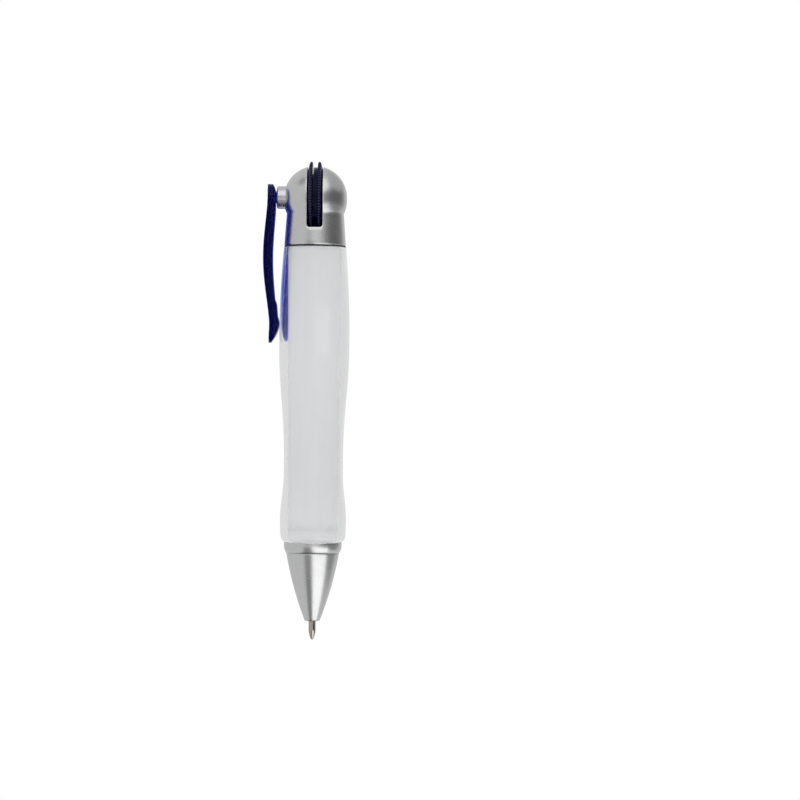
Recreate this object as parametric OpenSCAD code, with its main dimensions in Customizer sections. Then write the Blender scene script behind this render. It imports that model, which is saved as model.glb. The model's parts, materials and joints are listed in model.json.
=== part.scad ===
// Ballpoint pen with a thumb wheel, a spring clip and a clear barrel over a picture sheet.
// The writing point is at the origin and +Z runs up the axis. The clip is on the -X side,
// and the slot of the wheel opens towards -Y and +Y. Sizes are in millimetres.

/* [Heights] */
// Writing point that stands out of the nose, ready to write
tip_out = 5.85; // [5.2:0.05:6.4]
// Nose cone, from its lower edge to the collar
nose_h = 21.15; // [18:0.05:25]
// Collar above the nose cone
collar_h = 3.3; // [2.5:0.1:6]
// Clear end ring
ring_h = 4; // [3:0.1:6]
// Clear barrel
barrel_h = 87.3; // [84:0.1:105]
// Washer between the barrel and the head
washer_h = 0.35; // [0.25:0.05:0.8]
// Axle of the thumb wheel above the foot of the head
axle_rise = 15.05; // [14:0.05:17]

/* [Barrel] */
// Radius at the top of the barrel
barrel_top_r = 9.6; // [9.3:0.05:10.4]
// Radius of the belly, the widest place
belly_r = 10.88; // [10.2:0.02:12]
// Height of the belly above the foot of the barrel
belly_up = 59.1; // [50:0.1:68]
// Radius of the waist, where the fingers grip
waist_r = 9.16; // [8.9:0.02:10]
// Height of the lower end of the waist above the foot of the barrel
waist_up = 17; // [12:0.5:24]
// Straight length of the waist
waist_h = 3; // [1:0.5:10]
// Radius of the bulge below the waist
bulge_r = 10.25; // [9.6:0.05:11]
// Height of the bulge above the foot of the barrel
bulge_up = 2.6; // [1.5:0.1:6]
// Radius at the foot of the barrel and the top of the end ring
barrel_foot_r = 10.2; // [9.6:0.05:10.8]
// Radius of the rounded lower edge of the end ring
ring_edge_r = 2.4; // [2.2:0.1:3]
// Height of that rounded edge
ring_edge_h = 2; // [1.4:0.1:2.2]
// How much the end ring narrows above its rounded edge
ring_taper = 0.15; // [0.05:0.05:0.4]

/* [Core and sheet] */
// Radius of the white core at its foot
core_foot_r = 7.6; // [7.3:0.05:7.8]
// Radius of the white core under the head
core_top_r = 8.2; // [7.9:0.05:8.4]
// Wall of the core at its foot
core_wall = 1.15; // [0.8:0.05:1.4]
// Space between the core and the barrel, where the sheet lies
sleeve_gap = 0.3; // [0.2:0.02:0.4]
// Thickness of the picture sheet
sheet_t = 0.12; // [0.08:0.01:0.16]
// Bare core above and below the sheet
sheet_inset = 0.3; // [0.2:0.1:12]
// Open slit at the back of the rolled sheet, in degrees
sheet_slit = 12; // [4:1:40]

/* [Head] */
// Radius of the ball of the head
ball_r = 9.77; // [9.5:0.01:10.6]
// How much taller than wide the ball is, drawn out below the axle
ball_stretch = 0.85; // [0.3:0.05:1.2]
// Radius of the neck at its foot
neck_foot_r = 9.55; // [9.2:0.05:10.2]
// Radius of the neck where it meets the ball
neck_top_r = 8.83; // [8.6:0.01:9.2]
// Wall of the head
head_wall = 1.6; // [1.2:0.1:2]
// Width of the slot for the wheel
slot_w = 4.9; // [4.8:0.05:5.6]
// Lower end of the slot below the axle
slot_drop = 9.6; // [8:0.05:10]
// Radius of the two lower corners of the slot
slot_corner_r = 0.9; // [0.3:0.1:1.5]
// Walls beside the wheel
well_wall = 1.1; // [0.8:0.1:1.6]
// Radius of the inner boss that holds the far end of the axle
axle_boss_r = 2.4; // [2:0.1:3]
// Depth of the axle beyond the slot, in the far cheek
axle_hold = 4.2; // [3:0.1:4.8]
// Height of the core's spigot inside the head
core_spigot_h = 4.4; // [3:0.1:5]
// Step from the core in to its spigot
core_step = 0.65; // [0.5:0.05:0.9]

/* [Thumb wheel] */
// Outer radius of the wheel
wheel_r = 11.15; // [10.6:0.05:11.6]
// Width of the wheel
wheel_w = 4.6; // [4.2:0.05:4.7]
// Width of the groove between the two flanges
groove_w = 1.6; // [1.5:0.05:2]
// Depth of the groove below the rim, away from the cam
groove_d = 1.75; // [1.5:0.05:2.2]
// Width of the slit that parts the cam from the flange beside the clip
slit_w = 0.35; // [0.2:0.05:0.45]
// Depth of the slit below the floor of the groove
slit_d = 2; // [1:0.1:2.5]
// Height, below the axle, at which the slit ends
slit_end = 3.5; // [1:0.1:6]
// Thickness of each flange at its tip
flange_tip = 0.9; // [0.6:0.05:1.1]
// Height of the bevel on the outside of each flange
flange_bevel = 2.2; // [1.2:0.1:2.6]
// Number of grip notches round each flange
notch_n = 80; // [48:4:120]
// Depth of the grip notches
notch_d = 0.28; // [0.15:0.01:0.4]
// Turn of the wheel that draws the point in, in degrees
wheel_turn = 150; // [140:1:170]
// Radius of the axle
axle_r = 1; // [0.8:0.05:1.2]

/* [Clip] */
// Radius of the bush that carries the clip
bush_r = 3.5; // [3.1:0.05:3.9]
// Outer face of the bush, from the axis of the pen
bush_out = 11.9; // [11.4:0.05:13]
// Inner end of the bush, from the axis of the pen
bush_in = 7.4; // [6.9:0.1:8]
// Wall of the head behind the bush
bush_boss_wall = 1.1; // [0.8:0.1:1.4]
// Rounded outer edge of the bush
bush_edge_r = 0.5; // [0.2:0.1:0.8]
// Radius of the clip's peg
peg_r = 1.9; // [1.6:0.05:2.2]
// Length of the peg inside the bush
peg_in = 2.5; // [1.8:0.1:3]
// Space between the bush and the clip
clip_gap = 0.35; // [0.33:0.01:0.6]
// Top of the clip above the axle
clip_top = 4.15; // [3.6:0.05:4.6]
// Lower end of the clip below the axle
clip_drop = 45.1; // [43:0.1:50]
// Middle of the clip's bump below the axle
bump_drop = 38.95; // [34:0.05:41]
// Thickness of the clip at its peg
clip_t = 2.6; // [1.8:0.1:2.8]
// Thickness of the clip at its bump
clip_tail_t = 2.2; // [1.4:0.1:2.4]
// How much thicker the clip is between its peg and its bump
clip_swell = 0.6; // [0:0.05:0.8]
// Thickness of the clip at its lower end
clip_end_t = 0.9; // [0.6:0.1:1.4]
// Width of the clip at its peg
clip_w = 8.2; // [6:0.1:8.6]
// Width of the clip at its lower end
clip_tail_w = 7.4; // [5:0.1:8]
// How far the clip bows away from the pen
clip_bow = 1.35; // [0.5:0.05:2.5]
// How far the lower end turns out again
clip_flare = 0.8; // [0:0.1:1.5]
// Bevel inside the upper end of the clip
clip_bevel = 0.9; // [0.3:0.1:1.2]
// Radius of the bump's upper curve
bump_r = 5.3; // [4:0.1:8]
// Length of the bump's lower slope
bump_tail = 5.5; // [4:0.1:6]
// Height of the bump above the clip's inner face
bump_h = 0.9; // [0.6:0.05:1.4]
// Length of the raised pad above the middle of the bump
pad_l = 7.2; // [5:0.1:9]
// Height of the pad
pad_h = 0.45; // [0.2:0.05:0.6]
// Length of the slope at the upper end of the pad
pad_ramp = 1.3; // [0.5:0.1:3]
// Space between the bump and the barrel
bump_gap = 0.12; // [0.08:0.01:0.4]

/* [Nose] */
// Radius of the nose at its lower edge
nose_tip_r = 2.3; // [2:0.05:2.8]
// Radius of the nose at the collar
nose_top_r = 8.2; // [7.4:0.01:8.4]
// How far the nose bulges beyond a straight cone
nose_bulge = 0.58; // [0:0.02:1]
// Radius of the collar at its foot
collar_foot_r = 8.28; // [7.6:0.01:8.5]
// Radius of the collar under the end ring
collar_top_r = 8.98; // [8.6:0.01:9.2]
// Bevel of the seam between collar and nose
seam_bevel = 0.15; // [0.05:0.05:0.3]
// Radius of the nose's threaded spigot
spigot_r = 4.9; // [4.5:0.05:5.3]
// Length of the spigot above the collar
spigot_h = 10.5; // [8:0.5:14]
// Height of the threaded bush in the core
bush_h = 12; // [11:0.5:16]

/* [Refill] */
// Length of the refill
refill_l = 98; // [96:0.5:100]
// Radius of the refill's tube
refill_r = 2.95; // [2.7:0.05:3.1]
// Wall of the refill's tube
tube_wall = 0.45; // [0.3:0.05:0.6]
// Radius of the writing point
point_r = 1.1; // [1:0.05:1.2]
// Length of the writing point below the refill's neck
point_l = 9.9; // [9.4:0.1:11]
// Length of the writing point held inside the neck
point_hold = 4; // [2.5:0.5:6]
// Height of the point's taper
point_taper = 2.9; // [2:0.1:3.5]
// Radius of the rim that holds the ball
rim_r = 0.55; // [0.5:0.01:0.65]
// Radius of the writing ball
writing_ball_r = 0.5; // [0.4:0.01:0.5]
// Radius of the ink channel in the point
channel_r = 0.3; // [0.2:0.02:0.36]
// Radius of the refill's neck
neck_r = 1.75; // [1.6:0.05:1.8]
// Length of the refill's neck, up to the shoulder
neck_l = 7.7; // [7:0.1:10]
// Height of the refill's end plug
plug_h = 4; // [3:0.5:6]
// Height of the plug's head above the tube
plug_head_h = 1.5; // [1:0.1:2]
// Height of the ink in the tube
ink_h = 52; // [20:1:60]

/* [Mechanism] */
// Depth of the point inside the nose when it is drawn in
tip_in = 0.75; // [0.4:0.05:0.9]
// Thickness of the plunger's blade
blade_t = 1.2; // [0.9:0.05:1.3]
// Radius of the blade's rounded end
blade_r = 1; // [0.8:0.05:1.2]
// Radius of the plunger's rod
rod_r = 2; // [1.6:0.1:2.6]
// Height of the guide round the plunger's cup
guide_h = 5; // [3:0.5:8]
// Depth of the cup that holds the refill
cup_d = 10; // [8:0.5:14]
// Thickness of the closed end of the cup
cup_cap = 2; // [1:0.1:4]
// Wall of the cup
cup_wall = 0.85; // [0.6:0.05:1.2]
// Radius of the spring's wire
wire_r = 0.2; // [0.15:0.01:0.22]
// Radius of the spring at the middle of its wire
coil_r = 2.1; // [2.05:0.01:2.2]
// Turns of the spring
coil_n = 8; // [6:1:9]

/* [Fits] */
// Space round a piece that is pressed into another
press_gap = 0.02; // [0.01:0.005:0.05]
// Space round a piece that turns or slides in another
run_gap = 0.06; // [0.04:0.01:0.1]
// Space round the point, the spring and the refill
loose_gap = 0.12; // [0.08:0.01:0.14]
// Space round the clip's peg, in which the clip can rock
peg_gap = 0.15; // [0.13:0.01:0.25]
// Space beyond the end of a travel
end_gap = 0.5; // [0.3:0.05:0.8]

/* [Hidden] */
$fn = 96;
// Overlap of a cut beyond the face that it opens
cut = 0.1;
// Steps along a curved outline
steps = 24;
// Turn of the head's ball about the axis, which keeps its seam clear of slot and axle
seam_turn = 45;
// Powers that shape the clip's bow, its tail and the point's taper
bow_power = 1.6;
tail_power = 3;
taper_power = 1.6;
// Sides of the spring's wire and rings in one of its turns
wire_sides = 6;
turn_rings = 12;
// Angle between the end of the wheel's dwell and the start of its ramp
dwell_gap = 5;
// Angle at which the flange's rounded tip runs into its bevel, and steps along it
tip_angle = 75;
tip_steps = 3;

// Levels of the stack, from the writing point up
z_nose = tip_out;
z_collar = z_nose + nose_h;
z_ring = z_collar + collar_h;
z_barrel = z_ring + ring_h;
z_washer = z_barrel + barrel_h;
z_head = z_washer + washer_h;
z_axle = z_head + axle_rise;
z_neck = z_axle - ball_stretch - sqrt(pow(ball_r, 2) - pow(neck_top_r, 2));
z_slot = z_axle - slot_drop;
z_cavity = z_head + core_spigot_h;
z_bump = z_axle - bump_drop;

// The plunger lifts by as much as the point shows, and a little more
lift = tip_out + tip_in;
z_rod = z_axle - wheel_r - lift - end_gap;
z_cup = refill_l + cup_cap;
z_guide = z_cup - end_gap - guide_h;
cup_r = refill_r + run_gap + cup_wall;
cam_r = wheel_r - groove_d;
nose_reach = cam_r + loose_gap + blade_r;
lift_per_radian = lift / (wheel_turn * PI / 180);

// Bores that follow from the pieces inside them
core_bore_r = core_foot_r - core_wall;
core_spigot_r = core_top_r - core_step;
z_seat = point_l - end_gap;
z_shoulder = point_l + neck_l;
spring_bore_r = coil_r + wire_r + loose_gap;
refill_bore_r = refill_r + 3 * loose_gap;
tube_bore_r = refill_r - tube_wall;
z_plug = refill_l - plug_h;
z_plug_head = refill_l - plug_head_h;
z_funnel = z_shoulder + tube_wall;
z_ink = z_funnel + tube_bore_r - point_r;

function mix(a, b, t) = a + (b - a) * t;
function ease(t) = t * t * (3 - 2 * t);
function ease_long(t) = pow(t, 3) * (t * (6 * t - 15) + 10);
function part_of(v, lo, hi) = (v - lo) / (hi - lo);

// Points along an arc round a centre, from one angle to another
function arc(centre, r, from, to, n = steps / 3) =
    [for (i = [0 : n]) let (a = mix(from, to, i / n)) centre + r * [cos(a), sin(a)]];

// Radius of the barrel's outside, at height h above its foot
function barrel_r(h) =
    h < bulge_up ? mix(bulge_r, barrel_foot_r, pow(1 - h / bulge_up, 2)) :
    h < waist_up ? mix(bulge_r, waist_r, ease(part_of(h, bulge_up, waist_up))) :
    h < waist_up + waist_h ? waist_r :
    h < belly_up ? mix(waist_r, belly_r, ease_long(part_of(h, waist_up + waist_h, belly_up))) :
    mix(belly_r, barrel_top_r, pow(part_of(h, belly_up, barrel_h), 2));

// Heights above the foot of the barrel where its outline bends, and the steps between them
barrel_bends = [0, bulge_up, waist_up, waist_up + waist_h, belly_up, barrel_h];
bend_steps = [4, 14, 1, 24, 16];

// Radius of the core's outside, which tapers for moulding
function core_r(z) = mix(core_foot_r, core_top_r, part_of(z, z_ring, z_head));

// Radius of the nose, a cone with a slight bulge, at height z
function nose_r(z) = let (t = part_of(z, z_nose, z_collar))
    mix(nose_tip_r, nose_top_r, t) + nose_bulge * 4 * t * (1 - t);

// Distance of the clip's middle from the axis of the pen, at depth d below the axle
clip_root_x = bush_out + clip_gap + clip_t / 2;
clip_seat_x = barrel_r(z_bump - z_barrel) + bump_gap + bump_h + clip_tail_t / 2;
function clip_x(d) =
    d < 0 ? clip_root_x :
    d < bump_drop ? let (t = d / bump_drop)
        mix(clip_root_x, clip_seat_x, t) + clip_bow * pow(sin(180 * t), bow_power) :
    clip_seat_x + clip_flare * pow(part_of(d, bump_drop, clip_drop), 2);
function pad_rise(d) = pad_h * max(0, min(1, (d - bump_drop + pad_l) / pad_ramp));
function bump_rise(d) = let (up = bump_drop - d)
    up < 0 ? bump_h * max(0, 1 - pow(up / bump_tail, 2)) :
    up < bump_r ? max(pad_rise(d), sqrt(pow(bump_r, 2) - pow(up, 2)) - bump_r + bump_h) : pad_rise(d);
function clip_thick(d) =
    d < 0 ? clip_t :
    d < bump_drop ? let (t = d / bump_drop) mix(clip_t, clip_tail_t, t) + clip_swell * sin(180 * t) :
    mix(clip_tail_t, clip_end_t, pow(part_of(d, bump_drop, clip_drop), tail_power));

// A point of the wheel's cam after a turn a, clear of the blade's round end
function cam_point(a) =
    let (reach = nose_reach - lift * a / wheel_turn,
        out = [cos(a - 90), sin(a - 90)],
        along = [-out[1], out[0]],
        slope = -lift_per_radian * along - reach * out)
    reach * out + (blade_r + loose_gap) * slope / norm(slope);

// Solid of revolution about the axis of the pen
module turned(points) { rotate_extrude() polygon(points); }

// Solid of revolution about a line along X at the height of the axle
module turned_x(points) { translate([0, 0, z_axle]) rotate([0, 90, 0]) rotate_extrude() polygon(points); }

// Cylinder along X at the height of the axle, from x0 to x1
module rod_x(r, x0, x1) { translate([x0, 0, z_axle]) rotate([0, 90, 0]) cylinder(r = r, h = x1 - x0); }

// Tube about the axis of the pen
module tube(r_out, r_in, z0, z1) {
    difference() {
        translate([0, 0, z0]) cylinder(r = r_out, h = z1 - z0);
        translate([0, 0, z0 - cut]) cylinder(r = r_in, h = z1 - z0 + 2 * cut);
    }
}

// Head: a thin ball on a neck, with a walled slot for the wheel and bosses for the axle
module head_ball(r) {
    for (z = [z_axle, z_axle - ball_stretch])
        translate([0, 0, z]) rotate([0, 0, seam_turn]) sphere(r = r);
}

module head_outside() {
    neck_slope = (neck_foot_r - neck_top_r) / (z_neck - z_head);
    head_ball(ball_r);
    translate([0, 0, z_head])
        cylinder(r1 = neck_foot_r, r2 = neck_foot_r - neck_slope * axle_rise, h = axle_rise);
}

module head_hollow() {
    difference() {
        union() {
            translate([0, 0, z_cavity - cut])
                cylinder(r = neck_top_r - head_wall, h = z_axle - z_cavity + cut);
            head_ball(ball_r - head_wall);
        }
        translate([-slot_w / 2 - well_wall, -ball_r, z_head])
            cube([slot_w + 2 * well_wall, 2 * ball_r, axle_rise + ball_r]);
        rod_x(bush_r + bush_boss_wall, -ball_r, 0);
        rod_x(axle_boss_r, 0, ball_r);
    }
}

module wheel_slot() {
    x = slot_w / 2 - slot_corner_r;
    z = z_slot + slot_corner_r;
    rotate([90, 0, 0]) linear_extrude(height = 2 * wheel_r, center = true) polygon(concat(
        arc([-x, z], slot_corner_r, 180, 270), arc([x, z], slot_corner_r, 270, 360),
        [[slot_w / 2, z_axle + wheel_r], [-slot_w / 2, z_axle + wheel_r]]));
    rod_x(wheel_r + end_gap, -slot_w / 2, slot_w / 2);
}

module head_shell() color("silver") {
    difference() {
        head_outside();
        head_hollow();
        translate([0, 0, z_head - cut]) cylinder(r = core_spigot_r + press_gap, h = core_spigot_h + cut);
        wheel_slot();
        rod_x(axle_r + press_gap, -bush_in - cut, slot_w / 2 + axle_hold);
        rod_x(bush_r + press_gap, -bush_out, -bush_in);
    }
}

// Bush on the side of the head, with a socket for the clip's peg
module clip_bush() color("lightgray") {
    difference() {
        turned_x(concat([[0, -bush_in], [0, -bush_out]],
            arc([bush_r - bush_edge_r, -bush_out + bush_edge_r], bush_edge_r, -90, 0),
            [[bush_r, -bush_in]]));
        rod_x(peg_r + peg_gap, -bush_out - cut, -bush_out + peg_in + end_gap);
    }
}

// Clip: a bowed blade with a round peg above, and a pad and a rounded bump below
module clip_side() {
    depths = [for (i = [0 : 3 * steps]) mix(0, clip_drop, i / (3 * steps))];
    outer = [for (d = depths) [-clip_x(d) - clip_thick(d) / 2, z_axle - d]];
    inner = [for (d = depths) [-clip_x(d) + clip_thick(d) / 2 + bump_rise(d), z_axle - d]];
    top = [[inner[0][0], z_axle + clip_top - 2 * clip_bevel],
        [inner[0][0] - clip_bevel, z_axle + clip_top],
        [outer[0][0], z_axle + clip_top]];
    last = len(depths) - 1;
    polygon(concat(outer, [for (i = [0 : last]) inner[last - i]], top));
}

module clip_front() {
    polygon(concat(arc([0, z_axle + clip_top - clip_w / 2], clip_w / 2, 0, 180),
        arc([0, z_axle - clip_drop + clip_tail_w / 2], clip_tail_w / 2, 180, 360)));
}

module clip() color("navy") {
    intersection() {
        rotate([90, 0, 0]) linear_extrude(height = 2 * clip_w, center = true) clip_side();
        translate([-2 * bush_out, 0, 0]) rotate([90, 0, 90])
            linear_extrude(height = 2 * bush_out) clip_front();
    }
    rod_x(peg_r, -clip_root_x, -bush_out + peg_in);
}

// Thumb wheel: two notched flanges with a groove between them, whose floor is a cam, and a slit
module wheel_flange() {
    inner = groove_w / 2;
    tip_r = flange_tip / 2;
    intersection() {
        rotate_extrude() polygon(concat([[0, inner]],
            arc([wheel_r - tip_r, inner + tip_r], tip_r, -90, tip_angle, tip_steps),
            [[wheel_r - flange_bevel, wheel_w / 2], [0, wheel_w / 2]]));
        linear_extrude(height = wheel_w) polygon([for (i = [0 : 2 * notch_n - 1])
            let (a = 180 * i / notch_n) (wheel_r - notch_d * (i % 2)) * [cos(a), sin(a)]]);
    }
}

module cam_outline() {
    end = wheel_turn - 90;
    wall = asin((blade_r + loose_gap) / cam_r);
    low = nose_reach - lift;
    tilt = atan(lift_per_radian / low);
    ramp = [for (i = [0 : steps - 1]) cam_point(mix(0, wheel_turn, i / steps))];
    corner = arc(low * [cos(end), sin(end)], blade_r + loose_gap, end + 180 + tilt, end + 90);
    dwell = arc([0, 0], cam_r, end + wall, 270 - dwell_gap, 2 * steps);
    polygon(concat(ramp, corner, dwell));
}

module thumb_wheel() color("midnightblue") {
    translate([0, 0, z_axle]) rotate([90, 0, 90]) difference() {
        union() {
            wheel_flange();
            mirror([0, 0, 1]) wheel_flange();
            translate([0, 0, slit_w - groove_w / 2])
                linear_extrude(height = groove_w - slit_w + cut) cam_outline();
            linear_extrude(height = groove_w + 2 * cut, center = true) intersection() {
                cam_outline();
                union() {
                    circle(r = cam_r - slit_d);
                    translate([-wheel_r, -wheel_r]) square([2 * wheel_r, wheel_r - slit_end]);
                }
            }
        }
        cylinder(r = axle_r + run_gap, h = 2 * wheel_w, center = true);
    }
}

module wheel_axle() color("gainsboro") {
    rod_x(axle_r, -bush_in + end_gap, slot_w / 2 + axle_hold - press_gap);
}

// Plunger: a cup on the refill, which slides in a guide, a rod, and a blade in the wheel's groove
module plunger() color("whitesmoke") {
    z_blade = z_axle - nose_reach;
    difference() {
        union() {
            translate([0, 0, refill_l - cup_d]) cylinder(r = cup_r, h = cup_d + cup_cap);
            translate([0, 0, z_cup]) cylinder(r = rod_r, h = z_rod - z_cup);
        }
        translate([0, 0, refill_l - cup_d - cut]) cylinder(r = refill_r + run_gap, h = cup_d + cut);
    }
    translate([-blade_t / 2, -blade_r, z_rod - cut]) cube([blade_t, 2 * blade_r, z_blade - z_rod + cut]);
    translate([-blade_t / 2, 0, z_blade]) rotate([0, 90, 0]) cylinder(r = blade_r, h = blade_t);
}

module plunger_guide() color("lightsteelblue") {
    tube(core_bore_r - press_gap, cup_r + run_gap, z_guide, z_guide + guide_h);
}

// Core: the white tube that holds the pen together, with a spigot for the head
module core_tube() color("white") {
    difference() {
        turned([[0, z_ring], [core_foot_r, z_ring], [core_top_r, z_head], [core_spigot_r, z_head],
            [core_spigot_r, z_cavity - press_gap], [0, z_cavity - press_gap]]);
        translate([0, 0, z_ring - cut]) cylinder(r = core_bore_r, h = z_cavity - z_ring + 2 * cut);
    }
}

// Blank picture sheet, rolled round the core with its slit at the back
module insert_sheet() color("ivory") {
    z0 = z_barrel + sheet_inset;
    z1 = z_washer - sheet_inset;
    r = (sleeve_gap - sheet_t) / 2;
    rotate([0, 0, 90 + sheet_slit / 2]) rotate_extrude(angle = 360 - sheet_slit) polygon([
        [core_r(z0) + r, z0], [core_r(z0) + r + sheet_t, z0],
        [core_r(z1) + r + sheet_t, z1], [core_r(z1) + r, z1]]);
}

// Clear barrel with a belly, a waist and a bulge, over a straight tapered bore
module barrel() color("aliceblue", 0.4) {
    side = [for (i = [0 : len(bend_steps) - 1], k = [0 : bend_steps[i] - 1])
        let (h = mix(barrel_bends[i], barrel_bends[i + 1], k / bend_steps[i])) [barrel_r(h), z_barrel + h]];
    turned(concat(
        [[core_r(z_washer) + sleeve_gap, z_washer], [core_r(z_barrel) + sleeve_gap, z_barrel]],
        side, [[barrel_top_r, z_washer]]));
}

module barrel_washer() color("dimgray") {
    tube(neck_foot_r - press_gap, core_r(z_head) + sleeve_gap, z_washer, z_head);
}

// Threaded bush in the foot of the core, for the nose's spigot
module front_bush() color("lightgray") {
    tube(core_bore_r - press_gap, spigot_r + run_gap, z_ring, z_ring + bush_h);
}

// Clear end ring below the barrel
module end_ring() color("aliceblue", 0.4) {
    edge = barrel_foot_r - ring_taper - ring_edge_r;
    turned(concat(
        [[core_r(z_barrel) + sleeve_gap, z_barrel], [core_r(z_ring) + sleeve_gap, z_ring]],
        arc([edge, z_ring + ring_edge_h], ring_edge_r, -asin(min(1, ring_edge_h / ring_edge_r)), 0),
        [[barrel_foot_r, z_barrel]]));
}

module nose_collar() color("silver") {
    side = [for (i = [0 : steps / 3]) let (t = i / (steps / 3))
        [mix(collar_top_r, collar_foot_r, pow(1 - t, 3)), mix(z_collar + seam_bevel, z_ring, t)]];
    turned(concat([[spigot_r + press_gap, z_ring], [spigot_r + press_gap, z_collar],
        [collar_foot_r - seam_bevel, z_collar]], side));
}

// Nose: the metal cone, the seat of the spring and the threaded spigot
module nose_cone() color("silver") {
    side = [for (i = [0 : steps]) let (z = mix(z_nose + seam_bevel, z_collar - seam_bevel, i / steps))
        [nose_r(z), z]];
    difference() {
        turned(concat([[0, z_nose], [nose_r(z_nose) - seam_bevel, z_nose]], side,
            [[nose_r(z_collar) - seam_bevel, z_collar], [spigot_r, z_collar],
            [spigot_r, z_ring + spigot_h], [0, z_ring + spigot_h]]));
        translate([0, 0, z_nose - cut]) cylinder(r = point_r + loose_gap, h = nose_h);
        translate([0, 0, z_seat]) cylinder(r = spring_bore_r, h = nose_h);
        translate([0, 0, z_shoulder - end_gap])
            cylinder(r = refill_bore_r, h = nose_h + collar_h + spigot_h);
    }
}

// Return spring, an unbroken coil between the nose's seat and the refill's shoulder
module return_spring() color("lightslategray") {
    sides = wire_sides;
    rings = turn_rings * coil_n;
    z0 = z_seat + wire_r + loose_gap / 2;
    z1 = z_shoulder - wire_r - loose_gap / 2;
    points = [for (i = [0 : rings], k = [0 : sides - 1])
        let (a = 360 * coil_n * i / rings, b = 360 * k / sides, r = coil_r + wire_r * cos(b))
        [r * cos(a), r * sin(a), mix(z0, z1, i / rings) + wire_r * sin(b)]];
    walls = [for (i = [0 : rings - 1], k = [0 : sides - 1])
        let (p = i * sides, n = (k + 1) % sides)
        each [[p + k, p + sides + k, p + n], [p + n, p + sides + k, p + sides + n]]];
    ends = [for (k = [1 : sides - 2], e = [0, rings * sides])
        e == 0 ? [0, k, k + 1] : [e, e + k + 1, e + k]];
    polyhedron(points, concat(walls, ends));
}

// Refill: a tube drawn in to a neck, with its point, ball, end plug and ink
module refill_tube() color("goldenrod") {
    turned([[point_r + press_gap, point_l], [neck_r, point_l], [neck_r, z_shoulder],
        [refill_r - tube_wall, z_shoulder], [refill_r, z_funnel], [refill_r, z_plug_head],
        [tube_bore_r, z_plug_head], [tube_bore_r, z_ink], [point_r + press_gap, z_funnel]]);
}

module refill_point() color("tan") {
    taper = [for (i = [0 : steps / 3]) let (t = i / (steps / 3))
        [mix(point_r, rim_r, pow(t, taper_power)), mix(point_taper, writing_ball_r, t)]];
    difference() {
        turned(concat([[0, writing_ball_r], [0, point_l + point_hold],
            [point_r, point_l + point_hold]], taper));
        translate([0, 0, writing_ball_r]) sphere(r = writing_ball_r + press_gap);
        cylinder(r = channel_r, h = point_l + point_hold + cut);
    }
}

module writing_ball() color("dimgray") {
    translate([0, 0, writing_ball_r]) sphere(r = writing_ball_r);
}

module refill_plug() color("white") {
    difference() {
        turned([[0, z_plug], [tube_bore_r - press_gap, z_plug], [tube_bore_r - press_gap, z_plug_head],
            [refill_r, z_plug_head], [refill_r, refill_l], [0, refill_l]]);
        translate([0, 0, z_plug - cut]) cylinder(r = channel_r, h = plug_h + 2 * cut);
    }
}

module ink_column() color("navy") {
    translate([0, 0, z_ink]) cylinder(r = tube_bore_r - press_gap, h = ink_h);
}

head_shell();
clip_bush();
clip();
thumb_wheel();
wheel_axle();
plunger();
plunger_guide();
core_tube();
insert_sheet();
barrel();
barrel_washer();
front_bush();
end_ring();
nose_collar();
nose_cone();
return_spring();
refill_tube();
refill_point();
writing_ball();
refill_plug();
ink_column();
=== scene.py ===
# %% [markdown]
# # A ballpoint pen with a thumb wheel
#
# The pen stands upright with its writing point at the origin. Its pieces have been drawn in CAD
# already, with their sizes and joints. This lesson rebuilds the pieces that show with soft edges
# and smooth faces, gives each a finish, and lights them as a small product is lit in a studio.
# Blender counts in metres; fine sizes are written in millimetres and microns, which are easier to
# picture.

# %% The frame
import bpy
import bmesh
import json
import math
from mathutils import Matrix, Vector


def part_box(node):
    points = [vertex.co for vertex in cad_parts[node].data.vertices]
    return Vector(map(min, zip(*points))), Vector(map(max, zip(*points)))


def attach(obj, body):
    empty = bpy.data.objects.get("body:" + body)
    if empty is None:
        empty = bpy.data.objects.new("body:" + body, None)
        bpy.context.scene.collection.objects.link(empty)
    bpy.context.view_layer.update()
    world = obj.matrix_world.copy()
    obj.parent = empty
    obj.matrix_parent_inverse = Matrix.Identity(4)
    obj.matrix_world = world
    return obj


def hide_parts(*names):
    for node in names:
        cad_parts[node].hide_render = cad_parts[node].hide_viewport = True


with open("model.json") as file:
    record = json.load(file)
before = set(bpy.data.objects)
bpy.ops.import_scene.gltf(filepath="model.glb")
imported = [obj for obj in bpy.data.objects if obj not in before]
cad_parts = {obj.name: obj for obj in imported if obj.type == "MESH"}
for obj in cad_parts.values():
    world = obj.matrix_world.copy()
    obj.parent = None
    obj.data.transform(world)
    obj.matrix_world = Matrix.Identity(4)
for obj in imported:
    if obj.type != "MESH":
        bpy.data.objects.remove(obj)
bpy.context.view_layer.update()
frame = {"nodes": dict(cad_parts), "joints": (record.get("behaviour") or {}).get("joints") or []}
scene = bpy.context.scene
MM = 0.001
MICRON = 0.000001

# %% [markdown]
# ## The camera
#
# A product photographer stands well back with a long lens, so that the pen hardly narrows towards
# its ends. The camera here is level with the middle of the pen and a little to its right. It could
# be aimed with a constraint; a matrix is built instead, because each of its factors is one thing
# that a photographer does: step back and aside, point the camera level, and straighten it.

# %% Camera
VIEW_DISTANCE = 0.862
VIEW_RIGHT = 0.0267
VIEW_UP = 0.0745
VIEW_ROLL = math.radians(0.46)
LENS_MM = 125.1
SENSOR_MM = 36

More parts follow.
